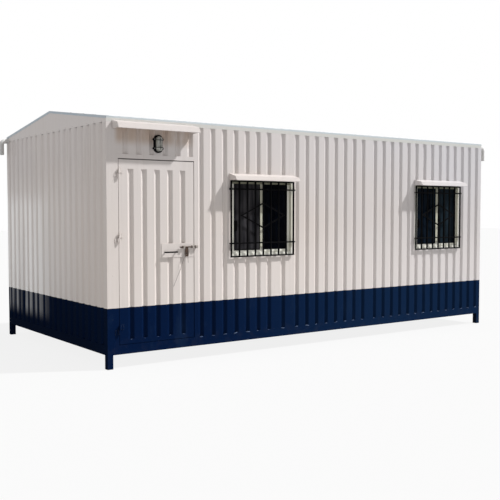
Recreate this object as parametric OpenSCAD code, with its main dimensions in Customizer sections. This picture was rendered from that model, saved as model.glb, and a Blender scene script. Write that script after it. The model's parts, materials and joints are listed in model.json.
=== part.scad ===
// Portable cabin: steel frame, pressed sheet walls, low gable roof, one door and two barred windows.
// Units are millimetres and +Z is up. The front wall faces -Y and the feet stand on Z = 0.

/* [Cabin] */
// Outside length of the walls
length = 6096; // [5900:1:7400]
// Outside width of the walls
width = 3048; // [2600:1:3600]
// Clear height under the base rails
leg_clear = 150; // [100:1:300]
// Height of the base rails
rail_h = 100; // [70:1:140]
// Height of the wall sheet over the door head
over_h = 329; // [290:1:600]
// Height of the flat eave band
eave_h = 55; // [50:1:90]
// Rise of the roof from eave to ridge
roof_rise = 202; // [120:1:320]

/* [Steel] */
// Side of the square corner posts
post = 65; // [55:1:80]
// Wall of the corner posts
post_t = 4; // [2:0.5:6]
// Thickness of the base rails, joists and gutters
rail_t = 4; // [2:0.5:6]
// Thickness of the pressed sheets
sheet_t = 2; // [1:0.5:3]
// Width of a floor joist
joist_w = 50; // [30:1:80]
// Number of floor joists
joist_n = 5; // [2:1:8]

/* [Pressing] */
// Distance from groove to groove
groove_pitch = 160.5; // [140:0.5:190]
// Width of a groove at its mouth
groove_mouth = 71; // [56:1:84]
// Width of a groove's flat floor
groove_floor = 22; // [12:1:34]
// Depth of a groove
groove_depth = 20; // [12:1:28]
// First groove right of the door, from the latch-side jamb
front_first = 45; // [42:1:90]
// Step across a lapped seam of the front sheets
seam_step = 216; // [170:1:240]
// Step from the first front groove back to the first one over the door
over_step = 140; // [100:1:180]
// First groove of an end wall, from the front corner
end_first = 125; // [115:1:160]
// Step across a lapped seam of the end sheets
end_step = 203; // [170:1:240]
// First groove of the back wall, from the left corner
back_first = 145; // [120:1:180]

/* [Floor and lining] */
// Thickness of the floor deck
deck_t = 18; // [12:1:30]
// Distance of the deck edge from the outside face
deck_in = 48; // [46:1:52]
// Thickness of the lining boards
board_t = 9; // [5:1:15]
// Open joint between lining boards
board_gap = 3; // [1:1:6]

/* [Roof] */
// Width of the eave gutters
gutter_w = 90; // [84:1:120]
// How far the roof sheets reach over the gutters
roof_over = 25; // [10:1:40]
// Gap between the roof sheets at the ridge
ridge_gap = 8; // [6:1:20]
// Half width of the ridge cap
cap_half = 120; // [60:1:200]
// Thickness of the ridge cap and verge trims
trim_t = 2; // [1:0.5:4]
// Depth of a verge trim down the end
verge_drop = 24; // [12:1:26]
// Reach of a verge trim onto the roof
verge_in = 60; // [30:1:100]
// Thickness of the gable plates
gable_t = 3; // [2:0.5:6]
// Fit between the roof sheets and the pieces next to them
roof_fit = 0.2; // [0.1:0.1:0.5]
// First groove of the roof sheets, from the left end
roof_first = 150; // [120:1:180]

/* [Rain spouts] */
// Outside diameter of a spout
spout_d = 60; // [40:1:64]
// Wall of a spout
spout_t = 3; // [2:0.5:5]
// Straight run of a spout out of the gable plate
spout_run = 40; // [15:1:80]
// Bend radius of a spout
spout_bend = 45; // [36:1:70]
// Straight drop of a spout below its bend
spout_drop = 137; // [40:1:220]
// Spout centre from the outside face
spout_in = 45; // [36:1:60]
// Spout centre above the wall sheets
spout_up = 2; // [0:1:4]

/* [Door] */
// Left edge of the door leaf, from the left corner
door_left = 142; // [122:1:142]
// Width of the door leaf
door_w = 925; // [800:1:1100]
// Height of the door leaf
door_h = 1968; // [1850:1:2400]
// Thickness of the door leaf
leaf_t = 40; // [30:1:40]
// Gap at the hinge side
gap_hinge = 5; // [5:1:8]
// Gap at the latch side
gap_latch = 8; // [7:1:12]
// Gap over the leaf
gap_top = 10; // [5:1:14]
// Gap under the leaf
gap_low = 5; // [5:1:10]
// Gap behind the leaf
gap_back = 5; // [5:1:8]
// Lap of the door stop behind the leaf
stop_lap = 15; // [8:1:25]
// Width of the latch-side jamb
jamb_w = 47; // [40:1:70]
// Height of the door head
head_h = 48; // [30:1:70]
// First groove of the leaf, from its left edge
leaf_first = 140; // [100:1:150]
// Number of grooves in the leaf
leaf_grooves = 5; // [2:1:5]
// Plain border under the leaf's grooves
leaf_low = 50; // [30:1:120]
// Plain border over the leaf's grooves
leaf_high = 100; // [30:1:140]
// Border of the pocket in the leaf's back
leaf_rim = 45; // [30:1:80]
// Depth of the pocket in the leaf's back
leaf_pocket = 8; // [2:1:9]

/* [Hinges] */
// Hinge axis in front of the leaf's face
hinge_out = 14; // [13.5:0.5:18]
// Outside diameter of a hinge barrel
hinge_d = 16; // [13:1:17]
// Diameter of a hinge pin
pin_d = 8; // [5:0.5:9]
// Height of a whole hinge
hinge_h = 100; // [70:1:140]
// Reach of a hinge flap from the axis
flap_w = 48; // [30:1:54]
// Thickness of a hinge flap
flap_t = 4; // [2:0.5:6]
// Width of the lug between flap and barrel
lug_w = 16; // [12:1:20]
// Lowest hinge, above the foot of the leaf
hinge_low = 160; // [90:1:300]
// Middle hinge, above the foot of the leaf
hinge_mid = 1135; // [800:1:1300]
// Highest hinge, below the top of the leaf
hinge_high = 148; // [90:1:300]

/* [Latch and handle] */
// Height of the latch above the foot of the leaf
latch_z = 988; // [900:1:1100]
// Width of the latch plate
plate_w = 410; // [390:1:500]
// Height of the latch plate
plate_h = 155; // [140:1:200]
// Latch plate's edge from the leaf's edge
plate_in = 5; // [3:1:10]
// Thickness of the latch plate
plate_t = 4; // [2:0.5:6]
// Latch bolt above the middle of its plate
bolt_up = 33; // [20:1:40]
// Diameter of the latch bolt
bolt_d = 14; // [10:1:16]
// Length of the latch bolt
bolt_l = 180; // [172:1:184]
// Travel of the latch bolt
bolt_run = 40; // [30:1:42]
// Bolt's drawn tip from the edge of the leaf
bolt_in = 10; // [8:1:14]
// Bolt's axis in front of the leaf
bolt_out = 20; // [18:1:24]
// Width of a bolt guide
guide_w = 20; // [14:1:22]
// Outer guide's edge from the edge of the leaf
guide_in = 14; // [12:1:17]
// Side of a bolt guide
guide_h = 30; // [26:1:34]
// Clearance of the bolt in its guides
bolt_fit = 0.75; // [0.4:0.05:1.5]
// Clearance of the bolt in its keeper
keeper_fit = 2; // [1:0.25:3]
// Width of the keeper
keeper_w = 24; // [18:1:30]
// Keeper's edge from the edge of the leaf
keeper_in = 13; // [12:1:16]
// Width of the hasp arm
arm_w = 40; // [30:1:42]
// Length of the hasp arm under the bolt
arm_h = 105; // [60:1:120]
// Thickness of the hasp arm
arm_t = 8; // [4:1:10]
// Hasp arm from the inner guide, drawn
arm_in = 9; // [6:1:10]
// Clearance of the hasp arm at the end of its travel
arm_clear = 8; // [6:1:14]
// Diameter of the hole in the hasp arm
arm_hole = 14; // [8:1:18]
// Width of the pull handle
pull_w = 140; // [110:1:160]
// Diameter of the pull handle
pull_d = 16; // [8:1:18]
// Pull handle's axis in front of the leaf
pull_out = 36; // [32:1:70]
// Pull handle's left end from the plate's left edge
pull_in = 42; // [20:1:60]
// Pull handle below the middle of the plate
pull_down = 19; // [0:1:40]

/* [Canopies] */
// Reach of the canopies in front of the wall
canopy_out = 150; // [130:1:220]
// Thickness of the canopy sheets
canopy_t = 3; // [1:0.5:5]
// Lean of the canopies' front strips
canopy_lean = 28; // [10:1:60]
// Fall of the door canopy's top
door_fall = 28; // [15:1:60]
// Height of the door canopy's front strip
door_strip = 58; // [30:1:90]
// Reach of the door canopy past the hinge edge of the leaf
door_canopy_left = 70; // [20:1:100]
// Reach of the door canopy past the latch edge of the leaf
door_canopy_right = 5; // [0:1:100]
// Door canopy's top above the wall sheets
door_canopy_up = 17; // [4:1:20]
// Fall of a window canopy's top
window_fall = 30; // [15:1:60]
// Height of a window canopy's front strip
window_strip = 46; // [30:1:90]
// Reach of a window canopy past each side of its window
window_canopy_past = 11; // [5:1:60]
// Shift of a window canopy to the left of its window's middle
window_canopy_shift = 3; // [0:1:30]
// Window canopy's top above its window
window_canopy_up = 12; // [4:1:60]

/* [Windows] */
// Width of a window
window_w = 920; // [700:1:1000]
// Height of a window
window_h = 951; // [600:1:1050]
// Window sill above the base rails
window_sill = 898; // [700:1:1000]
// Left edge of the left window, from the left corner
window_1_left = 1569; // [1540:1:1700]
// Right edge of the right window, from the right corner
window_2_right = 499; // [400:1:700]
// Face width of a window frame
frame_w = 22; // [15:1:40]
// Face width of a sash's rails and meeting stile
sash_w = 45; // [30:1:60]
// Face width of a sash's outer stile
stile_w = 30; // [20:1:60]
// Thickness of a sash
sash_t = 22; // [14:1:24]
// Front of the outer sash behind the wall face
sash_in = 8; // [5:1:20]
// Gap between the sashes
sash_gap = 6; // [3:1:8]
// Thickness of the panes
pane_t = 5; // [3:1:8]
// Side of a grille bar
bar = 16; // [8:1:18]
// Lap of a grille over its window
grille_lap = 10; // [8:1:24]
// Gap between a grille and its canopy
grille_gap = 3; // [1:1:10]
// Grille bars in front of the wall
grille_out = 14; // [8:1:40]
// Number of bays in a grille
grille_bays = 8; // [4:1:10]
// Upper cross bar below the grille's top
cross_high = 92; // [40:1:140]
// Lower cross bar above the grille's foot
cross_low = 155; // [80:1:200]
// Grille lug from the edge of the window
lug_in = 4; // [2:1:5]
// Reach of the cross bars past the grille
cross_past = 16; // [14:1:26]
// Half width of the diamond
diamond_w = 335; // [200:1:350]
// Half height of the diamond
diamond_h = 155; // [80:1:165]
// Diamond's middle above the middle of the grille
diamond_up = 40; // [0:1:60]

/* [Lamp] */
// Lamp's middle left of the middle of the leaf
lamp_left = -6; // [-60:1:200]
// Lamp's middle below the top of the wall sheets
lamp_down = 208; // [190:1:215]
// Width of the lamp
lamp_w = 100; // [80:1:130]
// Height of the lamp
lamp_h = 195; // [150:1:200]
// Depth of the lamp's body
lamp_t = 30; // [25:1:45]
// Width of the lamp's rim round the glass
lamp_rim = 14; // [8:1:20]
// Depth of the lamp's glass
glass_t = 30; // [20:1:45]
// Diameter of a lamp ear
ear_d = 24; // [16:1:30]

/* [Hidden] */
$fn = 48;
z_wall = leg_clear + rail_h;
wall_h = gap_low + door_h + gap_top + head_h + over_h;
z_top = z_wall + wall_h;
z_eave = z_top + eave_h;
z_ridge = z_eave + roof_rise;
z_deck = z_wall + deck_t;
mid = width / 2;
slope = atan(roof_rise / mid);
press_t = groove_depth + sheet_t;
lining = post + board_t;
groove_run = (groove_mouth - groove_floor) / 2;
groove_side = sqrt(groove_run * groove_run + groove_depth * groove_depth);
groove_lap = sheet_t * (groove_side - groove_run) / groove_depth;
groove_room = groove_mouth / 2 + groove_lap + 4;
door_right = door_left + door_w;
door_foot = z_wall + gap_low;
door_top = door_foot + door_h;
jamb_left = door_left - gap_hinge;
jamb_right = door_right + gap_latch;
jamb_end = jamb_right + jamb_w;
head_foot = door_top + gap_top;
head_top = head_foot + head_h;
stop_y = leaf_t + gap_back;
hinge_x = door_left - gap_hinge / 2;
hinge_zs = [door_foot + hinge_low, door_foot + hinge_mid, door_top - hinge_high];
plate_x = door_right - plate_in - plate_w;
plate_z = door_foot + latch_z - plate_h / 2;
bolt_z = door_foot + latch_z + bolt_up;
bolt_tip = door_right - bolt_in;
guide_2 = door_right - guide_in - guide_w;
guide_span = arm_in + arm_w + bolt_run + arm_clear;
guide_1 = guide_2 - guide_span - guide_w;
keeper_x = door_right + keeper_in;
window_xs = [window_1_left, length - window_2_right - window_w];
window_z = z_wall + window_sill;
window_top = window_z + window_h;
sash_y2 = sash_in + sash_t + sash_gap;
sash_l = window_w / 2 - frame_w + sash_w / 2;
sash_h = window_h - 2 * frame_w;
lamp_x = door_left + door_w / 2 - lamp_left;
lamp_z = z_top - lamp_down;
spout_z = z_top + spout_up;

// Puts a piece drawn from the front left corner into the shared frame.
module site() {
    translate([-length / 2, -(width - canopy_out) / 2, 0]) children();
}

// Box from one corner to the other.
module block(a, b) {
    translate(a) cube(b - a);
}

// Drawing in depth and height, drawn out along the length from x0 to x1.
module along(x0, x1) {
    translate([x0, 0, 0]) rotate([90, 0, 90]) linear_extrude(x1 - x0) children();
}

// Evenly spaced groove centres.
function run_n(first, n) = [for (i = [0 : n - 1]) first + i * groove_pitch];
function run_to(first, end) = run_n(first, floor((end - first) / groove_pitch) + 1);

// Closed outline of a pressed sheet of even thickness.
function face_points(c) = [[c - groove_mouth / 2, 0], [c - groove_floor / 2, groove_depth],
    [c + groove_floor / 2, groove_depth], [c + groove_mouth / 2, 0]];
function back_points(c) = [[c + groove_mouth / 2 + groove_lap, sheet_t],
    [c + groove_floor / 2 + groove_lap, press_t], [c - groove_floor / 2 - groove_lap, press_t],
    [c - groove_mouth / 2 - groove_lap, sheet_t]];
function pressed(x0, x1, cs) = concat([[x0, 0]], [for (c = cs) for (p = face_points(c)) p],
    [[x1, 0], [x1, sheet_t]],
    [for (i = [len(cs) - 1 : -1 : 0]) for (p = back_points(cs[i])) p], [[x0, sheet_t]]);

front_a = jamb_end + front_first;
front_b = front_a + 6 * groove_pitch + seam_step;
front_c = front_b + seam_step;
front_d = front_c + 7 * groove_pitch + seam_step;
front_list = concat(run_n(front_a, 7), [front_b], run_n(front_c, 8),
    run_to(front_d, length - post - groove_room));
over_last = front_a - over_step;
over_n = floor((over_last - post - groove_room) / groove_pitch) + 1;
over_list = run_n(over_last - (over_n - 1) * groove_pitch, over_n);
end_b = end_first + 9 * groove_pitch + end_step;
end_list = [for (c = concat(run_n(end_first, 10), [end_b],
    run_to(end_b + end_step, width - post - groove_room))) if (c < width - post - groove_room) c];
back_list = run_to(back_first, length - post - groove_room);
roof_list = run_to(roof_first, length - groove_room);

// Part of the front wall's sheeting between two distances and two heights.
module front_panel(x0, x1, z0, z1) {
    translate([0, 0, z0]) linear_extrude(z1 - z0) intersection() {
        polygon(pressed(jamb_end, length - post, front_list));
        translate([x0, -1]) square([x1 - x0, press_t + 2]);
    }
}

// Height of the roof line and of the underside of the roof sheets over a depth y.
function roof_z(y) = z_eave + roof_rise * min(y, width - y) / mid;
function under_z(y) = roof_z(y) - press_t / cos(slope) - roof_fit;

// Steel frame and floor

module corner_posts() {
    color("white") site() for (x = [0, length - post], y = [0, width - post]) difference() {
        block([x, y, 0], [x + post, y + post, z_top]);
        block([x + post_t, y + post_t, post_t], [x + post - post_t, y + post - post_t, z_top + 1]);
    }
}

module rail_section() {
    polygon([[0, leg_clear], [post, leg_clear], [post, leg_clear + rail_t], [rail_t, leg_clear + rail_t],
        [rail_t, z_wall - rail_t], [post, z_wall - rail_t], [post, z_wall], [0, z_wall]]);
}

module base_rail_front() {
    color("navy") site() along(post, length - post) rail_section();
}

module base_rail_back() {
    color("navy") site() translate([0, width, 0]) mirror([0, 1, 0])
        along(post, length - post) rail_section();
}

module base_rail_ends() {
    color("navy") site() {
        translate([0, width, 0]) rotate([0, 0, -90]) along(post, width - post) rail_section();
        translate([length, 0, 0]) rotate([0, 0, 90]) along(post, width - post) rail_section();
    }
}

module floor_joists() {
    color("navy") site() for (i = [1 : joist_n]) {
        x = i * length / (joist_n + 1) - joist_w / 2;
        difference() {
            block([x, post, leg_clear], [x + joist_w, width - post, z_wall]);
            block([x + rail_t, post - 1, leg_clear + rail_t],
                [x + joist_w + 1, width - post + 1, z_wall - rail_t]);
        }
    }
}

module floor_deck() {
    color("tan") site() translate([0, 0, z_wall]) linear_extrude(deck_t) polygon([[post, deck_in],
        [length - post, deck_in], [length - post, post], [length - deck_in, post],
        [length - deck_in, width - post], [length - post, width - post], [length - post, width - deck_in],
        [post, width - deck_in], [post, width - post], [deck_in, width - post], [deck_in, post],
        [post, post]]);
}

module gutter_section() {
    polygon([[0, z_top], [gutter_w, z_top], [gutter_w, under_z(gutter_w)],
        [gutter_w - rail_t, under_z(gutter_w - rail_t)], [gutter_w - rail_t, z_top + rail_t],
        [rail_t, z_top + rail_t], [rail_t, z_eave], [0, z_eave]]);
}

module gutter_front() {
    color("white") site() along(gable_t, length - gable_t) gutter_section();
}

module gutter_back() {
    color("white") site() translate([0, width, 0]) mirror([0, 1, 0])
        along(gable_t, length - gable_t) gutter_section();
}

// Wall sheets

module sheet_over_door() {
    color("white") site() translate([0, 0, head_top]) linear_extrude(z_top - head_top)
        polygon(pressed(post, jamb_end, over_list));
}

module sheet_beside_door() {
    color("white") site() front_panel(jamb_end, window_xs[0], z_wall, z_top);
}

module sheet_window_bay_1() {
    color("white") site() {
        front_panel(window_xs[0], window_xs[0] + window_w, z_wall, window_z);
        front_panel(window_xs[0], window_xs[0] + window_w, window_top, z_top);
    }
}

module sheet_middle() {
    color("white") site() front_panel(window_xs[0] + window_w, window_xs[1], z_wall, z_top);
}

module sheet_window_bay_2() {
    color("white") site() {
        front_panel(window_xs[1], window_xs[1] + window_w, z_wall, window_z);
        front_panel(window_xs[1], window_xs[1] + window_w, window_top, z_top);
    }
}

module sheet_front_right() {
    color("white") site() front_panel(window_xs[1] + window_w, length - post, z_wall, z_top);
}

module sheet_back() {
    color("white") site() translate([0, width, z_wall]) mirror([0, 1, 0]) linear_extrude(wall_h)
        polygon(pressed(post, length - post, back_list));
}

module end_sheet() {
    linear_extrude(wall_h) polygon([for (p = pressed(post, width - post, end_list)) [p[1], p[0]]]);
}

module sheet_left() {
    color("white") site() translate([0, 0, z_wall]) end_sheet();
}

module sheet_right() {
    color("white") site() translate([length, 0, z_wall]) mirror([1, 0, 0]) end_sheet();
}

// Lining boards

module lining_front() {
    color("beige") site() {
        block([lining, post, head_foot + head_h / 2], [jamb_end - jamb_w / 2 - board_gap, lining, z_top]);
        block([jamb_end - jamb_w / 2, post, z_deck], [window_xs[0], lining, z_top]);
        for (x = window_xs) {
            block([x + board_gap, post, z_deck], [x + window_w - board_gap, lining, window_z]);
            block([x + board_gap, post, window_top], [x + window_w - board_gap, lining, z_top]);
        }
        block([window_xs[0] + window_w, post, z_deck], [window_xs[1], lining, z_top]);
        block([window_xs[1] + window_w, post, z_deck], [length - lining, lining, z_top]);
    }
}

module lining_back() {
    color("beige") site() block([lining, width - lining, z_deck], [length - lining, width - post, z_top]);
}

module lining_left() {
    color("beige") site() block([post, post, z_deck], [lining, width - post, z_top]);
}

module lining_right() {
    color("beige") site() block([length - lining, post, z_deck], [length - post, width - post, z_top]);
}

// Roof

module gable_section() {
    polygon([[0, z_top], [width, z_top], [width, under_z(width)], [mid, under_z(mid)], [0, under_z(0)]]);
}

module gable_left() {
    color("white") site() along(0, gable_t) gable_section();
}

module gable_right() {
    color("white") site() along(length - gable_t, length) gable_section();
}

module roof_sheet() {
    rotate([90, 0, 0]) linear_extrude((mid - gutter_w + roof_over) / cos(slope) - ridge_gap)
        polygon([for (p = pressed(0, length, roof_list)) [p[0], -p[1]]]);
}

module roof_sheet_front() {
    color("lightsteelblue") site() translate([0, mid, z_ridge]) rotate([slope, 0, 0])
        translate([0, -ridge_gap, 0]) roof_sheet();
}

module roof_sheet_back() {
    color("lightsteelblue") site() translate([0, mid, z_ridge]) mirror([0, 1, 0]) rotate([slope, 0, 0])
        translate([0, -ridge_gap, 0]) roof_sheet();
}

// Strip that follows the roof line between two depths, from low to high above the line.
module roof_strip(y0, y1, low, high) {
    polygon([[y0, roof_z(y0) + low], [mid, z_ridge + low], [y1, roof_z(y1) + low],
        [y1, roof_z(y1) + high], [mid, z_ridge + high], [y0, roof_z(y0) + high]]);
}

module ridge_cap() {
    color("lightsteelblue") site() along(verge_in, length - verge_in)
        roof_strip(mid - cap_half, mid + cap_half, roof_fit, roof_fit + trim_t);
}

module verge() {
    along(-trim_t - roof_fit, -roof_fit) roof_strip(0, width, -verge_drop, roof_fit + trim_t);
    along(-trim_t - roof_fit, verge_in) roof_strip(0, width, roof_fit, roof_fit + trim_t);
}

module verge_left() {
    color("lightsteelblue") site() verge();
}

module verge_right() {
    color("lightsteelblue") site() translate([length, 0, 0]) mirror([1, 0, 0]) verge();
}

module spout() {
    rotate([0, 90, 0]) difference() {
        cylinder(h = spout_run, d = spout_d);
        translate([0, 0, -1]) cylinder(h = spout_run + 2, d = spout_d - 2 * spout_t);
    }
    translate([spout_run, 0, -spout_bend]) rotate([90, 0, 0]) rotate_extrude(angle = 90)
        translate([spout_bend, 0]) difference() {
            circle(d = spout_d);
            circle(d = spout_d - 2 * spout_t);
        }
    translate([spout_run + spout_bend, 0, -spout_bend - spout_drop]) difference() {
        cylinder(h = spout_drop, d = spout_d);
        translate([0, 0, -1]) cylinder(h = spout_drop + 2, d = spout_d - 2 * spout_t);
    }
}

module rain_spouts() {
    color("white") site() {
        translate([length, spout_in, spout_z]) spout();
        translate([0, width - spout_in, spout_z]) rotate([0, 0, 180]) spout();
    }
}

// Door

module door_jambs() {
    color("white") site() difference() {
        translate([0, 0, z_wall]) linear_extrude(head_top - z_wall) {
            polygon([[post, 0], [jamb_left, 0], [jamb_left, stop_y], [door_left + stop_lap, stop_y],
                [door_left + stop_lap, post], [post, post]]);
            polygon([[jamb_end, 0], [jamb_right, 0], [jamb_right, stop_y], [door_right - stop_lap, stop_y],
                [door_right - stop_lap, post], [jamb_end, post]]);
        }
        block([post - 1, deck_in, z_wall - 1], [jamb_end + 1, post + 1, z_deck]);
    }
}

module door_head() {
    color("white") site() {
        block([jamb_left, 0, head_foot], [jamb_right, stop_y, head_top]);
        block([door_left + stop_lap, stop_y, door_top - stop_lap], [door_right - stop_lap, post, head_top]);
    }
}

module leaf_groove(c) {
    translate([0, 0, door_foot + leaf_low]) linear_extrude(door_h - leaf_low - leaf_high)
        polygon([[c - groove_mouth / 2 - groove_run / groove_depth, -1],
            [c - groove_floor / 2, groove_depth],
            [c + groove_floor / 2, groove_depth], [c + groove_mouth / 2 + groove_run / groove_depth, -1]]);
}

module door_leaf() {
    color("white") site() difference() {
        block([door_left, 0, door_foot], [door_right, leaf_t, door_top]);
        for (c = run_n(door_left + leaf_first, leaf_grooves)) leaf_groove(c);
        block([door_left + leaf_rim, leaf_t - leaf_pocket, door_foot + leaf_rim],
            [door_right - leaf_rim, leaf_t + 1, door_top - leaf_rim]);
    }
}

// Lower half with the pin, on the jamb.
module hinge_frame_half() {
    translate([-flap_w, hinge_out - flap_t, -hinge_h / 2]) cube([flap_w - 6, flap_t, hinge_h / 2 - 2]);
    translate([-lug_w, -flap_t, -hinge_h / 2]) cube([lug_w, hinge_out + flap_t, hinge_h / 2 - 2]);
    translate([0, 0, -hinge_h / 2]) cylinder(h = hinge_h / 2 - 2, d = hinge_d);
    translate([0, 0, -hinge_h / 2]) cylinder(h = hinge_h - 4, d = pin_d);
}

// Upper half with the socket, on the leaf.
module hinge_leaf_half() {
    difference() {
        union() {
            translate([6, hinge_out - flap_t, 0]) cube([flap_w - 6, flap_t, hinge_h / 2]);
            translate([0, -flap_t, 0]) cube([lug_w, hinge_out + flap_t, hinge_h / 2]);
            cylinder(h = hinge_h / 2, d = hinge_d);
        }
        translate([0, 0, -1]) cylinder(h = hinge_h / 2 + 2, d = pin_d + 1);
    }
}

module hinge_frame_halves() {
    color("white") site() for (z = hinge_zs) translate([hinge_x, -hinge_out, z]) hinge_frame_half();
}

module hinge_leaf_halves() {
    color("white") site() for (z = hinge_zs) translate([hinge_x, -hinge_out, z]) hinge_leaf_half();
}

module latch_plate() {
    color("white") site() block([plate_x, -plate_t, plate_z], [plate_x + plate_w, 0, plate_z + plate_h]);
}

// Block with a bore along the length.
module bored_block(x, w, y, bore) {
    difference() {
        block([x, -bolt_out - guide_h / 2, bolt_z - guide_h / 2], [x + w, y, bolt_z + guide_h / 2]);
        translate([x - 1, -bolt_out, bolt_z]) rotate([0, 90, 0]) cylinder(h = w + 2, d = bore);
    }
}

module latch_guides() {
    color("white") site() {
        bored_block(guide_1, guide_w, -plate_t, bolt_d + 2 * bolt_fit);
        bored_block(guide_2, guide_w, -plate_t, bolt_d + 2 * bolt_fit);
    }
}

module latch_bolt() {
    arm_x = guide_1 + guide_w + arm_in;
    color("saddlebrown") site() {
        translate([bolt_tip - bolt_l, -bolt_out, bolt_z]) rotate([0, 90, 0])
            cylinder(h = bolt_l, d = bolt_d);
        difference() {
            block([arm_x, -bolt_out - arm_t / 2, bolt_z - arm_h],
                [arm_x + arm_w, -bolt_out + arm_t / 2, bolt_z]);
            translate([arm_x + arm_w / 2, -bolt_out - arm_t, bolt_z - arm_h + arm_hole + 6])
                rotate([-90, 0, 0]) cylinder(h = 2 * arm_t, d = arm_hole);
        }
    }
}

module latch_keeper() {
    color("white") site() bored_block(keeper_x, keeper_w, 0, bolt_d + 2 * keeper_fit);
}

module pull_handle() {
    color("black") site() translate([plate_x + pull_in, -pull_out, door_foot + latch_z - pull_down]) {
        rotate([0, 90, 0]) cylinder(h = pull_w, d = pull_d);
        for (x = [0, pull_w]) translate([x, 0, 0]) {
            sphere(d = pull_d);
            rotate([-90, 0, 0]) cylinder(h = pull_out - plate_t, d = pull_d);
        }
    }
}

// Bent sheet with a leaning front strip and closed ends, its top edge on the wall at height z.
module canopy(x, w, z, fall, strip) {
    bend = canopy_lean - canopy_out;
    foot = z - fall - strip;
    along(x, x + w) polygon([[0, z], [bend, z - fall], [-canopy_out, foot], [canopy_t - canopy_out, foot],
        [bend + canopy_t / 2, z - fall - canopy_t], [0, z - canopy_t]]);
    for (e = [x, x + w - canopy_t]) along(e, e + canopy_t)
        polygon([[0, z], [bend, z - fall], [-canopy_out, foot], [0, foot]]);
}

module door_canopy() {
    color("white") site() canopy(door_left - door_canopy_left,
        door_canopy_left + door_w + door_canopy_right, z_top + door_canopy_up, door_fall, door_strip);
}

// Windows

// Upright rectangular ring with its own left and right face.
module ring(x, z, w, h, face, left, right, y, t) {
    difference() {
        block([x, y, z], [x + w, y + t, z + h]);
        block([x + left, y - 1, z + face], [x + w - right, y + t + 1, z + h - face]);
    }
}

module window_frames() {
    color("ivory") site() for (x = window_xs) ring(x, window_z, window_w, window_h, frame_w, frame_w,
        frame_w, 0, lining);
}

module window_sashes() {
    color("ivory") site() for (x = window_xs) {
        ring(x + frame_w, window_z + frame_w, sash_l, sash_h, sash_w, stile_w, sash_w, sash_in, sash_t);
        ring(x + window_w - frame_w - sash_l, window_z + frame_w, sash_l, sash_h, sash_w, sash_w, stile_w,
            sash_y2, sash_t);
    }
}

module pane(x, y) {
    translate([x, y + (sash_t - pane_t) / 2, window_z + frame_w + sash_w])
        cube([sash_l - sash_w - stile_w, pane_t, sash_h - 2 * sash_w]);
}

module window_panes() {
    color("dimgray") site() for (x = window_xs) {
        pane(x + frame_w + stile_w, sash_in);
        pane(x + window_w - frame_w - sash_l + sash_w, sash_y2);
    }
}

// Upright diamond of flat bars round the middle of a grille.
module diamond(t) {
    inner = 1 - bar * sqrt(diamond_w * diamond_w + diamond_h * diamond_h) / (diamond_w * diamond_h);
    rotate([90, 0, 0]) linear_extrude(t, center = true) difference() {
        polygon([[-diamond_w, 0], [0, diamond_h], [diamond_w, 0], [0, -diamond_h]]);
        scale(inner) polygon([[-diamond_w, 0], [0, diamond_h], [diamond_w, 0], [0, -diamond_h]]);
    }
}

module grille() {
    w = window_w + 2 * grille_lap;
    h = grille_lap + window_h + window_canopy_up - window_fall - window_strip - grille_gap;
    y = -grille_out - bar;
    ring(0, 0, w, h, bar, bar, bar, y, bar);
    for (i = [1 : grille_bays - 1]) translate([i * (w - bar) / grille_bays, y, bar / 2])
        cube([bar, bar, h - bar]);
    for (z = [h - cross_high - bar, cross_low]) {
        translate([-cross_past, y, z]) cube([w + 2 * cross_past, bar, bar]);
        for (x = [grille_lap + lug_in, w - grille_lap - lug_in - bar]) translate([x, y, z])
            cube([bar, grille_out + bar, bar]);
    }
    translate([w / 2, y + bar / 2, h / 2 + diamond_up]) diamond(bar / 2);
}

module window_grilles() {
    color("black") site() for (x = window_xs) translate([x - grille_lap, 0, window_z - grille_lap])
        grille();
}

module window_canopies() {
    color("white") site() for (x = window_xs) canopy(x - window_canopy_past - window_canopy_shift,
        window_w + 2 * window_canopy_past, window_top + window_canopy_up, window_fall, window_strip);
}

// Lamp over the door

// Upright slot shape drawn out towards the viewer from depth y.
module slot_shape(w, h, y, t) {
    translate([0, y, 0]) rotate([90, 0, 0]) linear_extrude(t) {
        for (s = [-1, 1]) translate([0, s * (h - w) / 2]) circle(d = w);
        square([w, h - w], center = true);
    }
}

module lamp_body() {
    color("black") site() translate([lamp_x, 0, lamp_z]) {
        slot_shape(lamp_w, lamp_h, 0, lamp_t);
        for (x = [-1, 1], z = [-1, 1]) translate([x * lamp_w / 2, 0, z * lamp_h / 4]) rotate([90, 0, 0])
            cylinder(h = lamp_t, d = ear_d);
    }
}

module lamp_glass() {
    color("gainsboro") site() translate([lamp_x, -lamp_t, lamp_z])
        slot_shape(lamp_w - 2 * lamp_rim, lamp_h - 2 * lamp_rim, 0, glass_t);
}

corner_posts();
base_rail_front();
base_rail_back();
base_rail_ends();
floor_joists();
floor_deck();
gutter_front();
gutter_back();
sheet_over_door();
sheet_beside_door();
sheet_window_bay_1();
sheet_middle();
sheet_window_bay_2();
sheet_front_right();
sheet_back();
sheet_left();
sheet_right();
lining_front();
lining_back();
lining_left();
lining_right();
gable_left();
gable_right();
roof_sheet_front();
roof_sheet_back();
ridge_cap();
verge_left();
verge_right();
rain_spouts();
door_jambs();
door_head();
door_leaf();
hinge_frame_halves();
hinge_leaf_halves();
latch_plate();
latch_guides();
latch_bolt();
latch_keeper();
pull_handle();
door_canopy();
window_frames();
window_sashes();
window_panes();
window_grilles();
window_canopies();
lamp_body();
lamp_glass();
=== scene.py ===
"""Dresses the portable cabin.

Its solids get enamel, glass, steel and boards, and the small pieces that they leave out are modelled here.
"""

import json
import logging
import math
import random
from collections.abc import Callable, Iterable, Iterator
from contextlib import contextmanager
from dataclasses import dataclass
from enum import Enum

import bmesh
import bpy
from mathutils import Matrix, Vector

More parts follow.
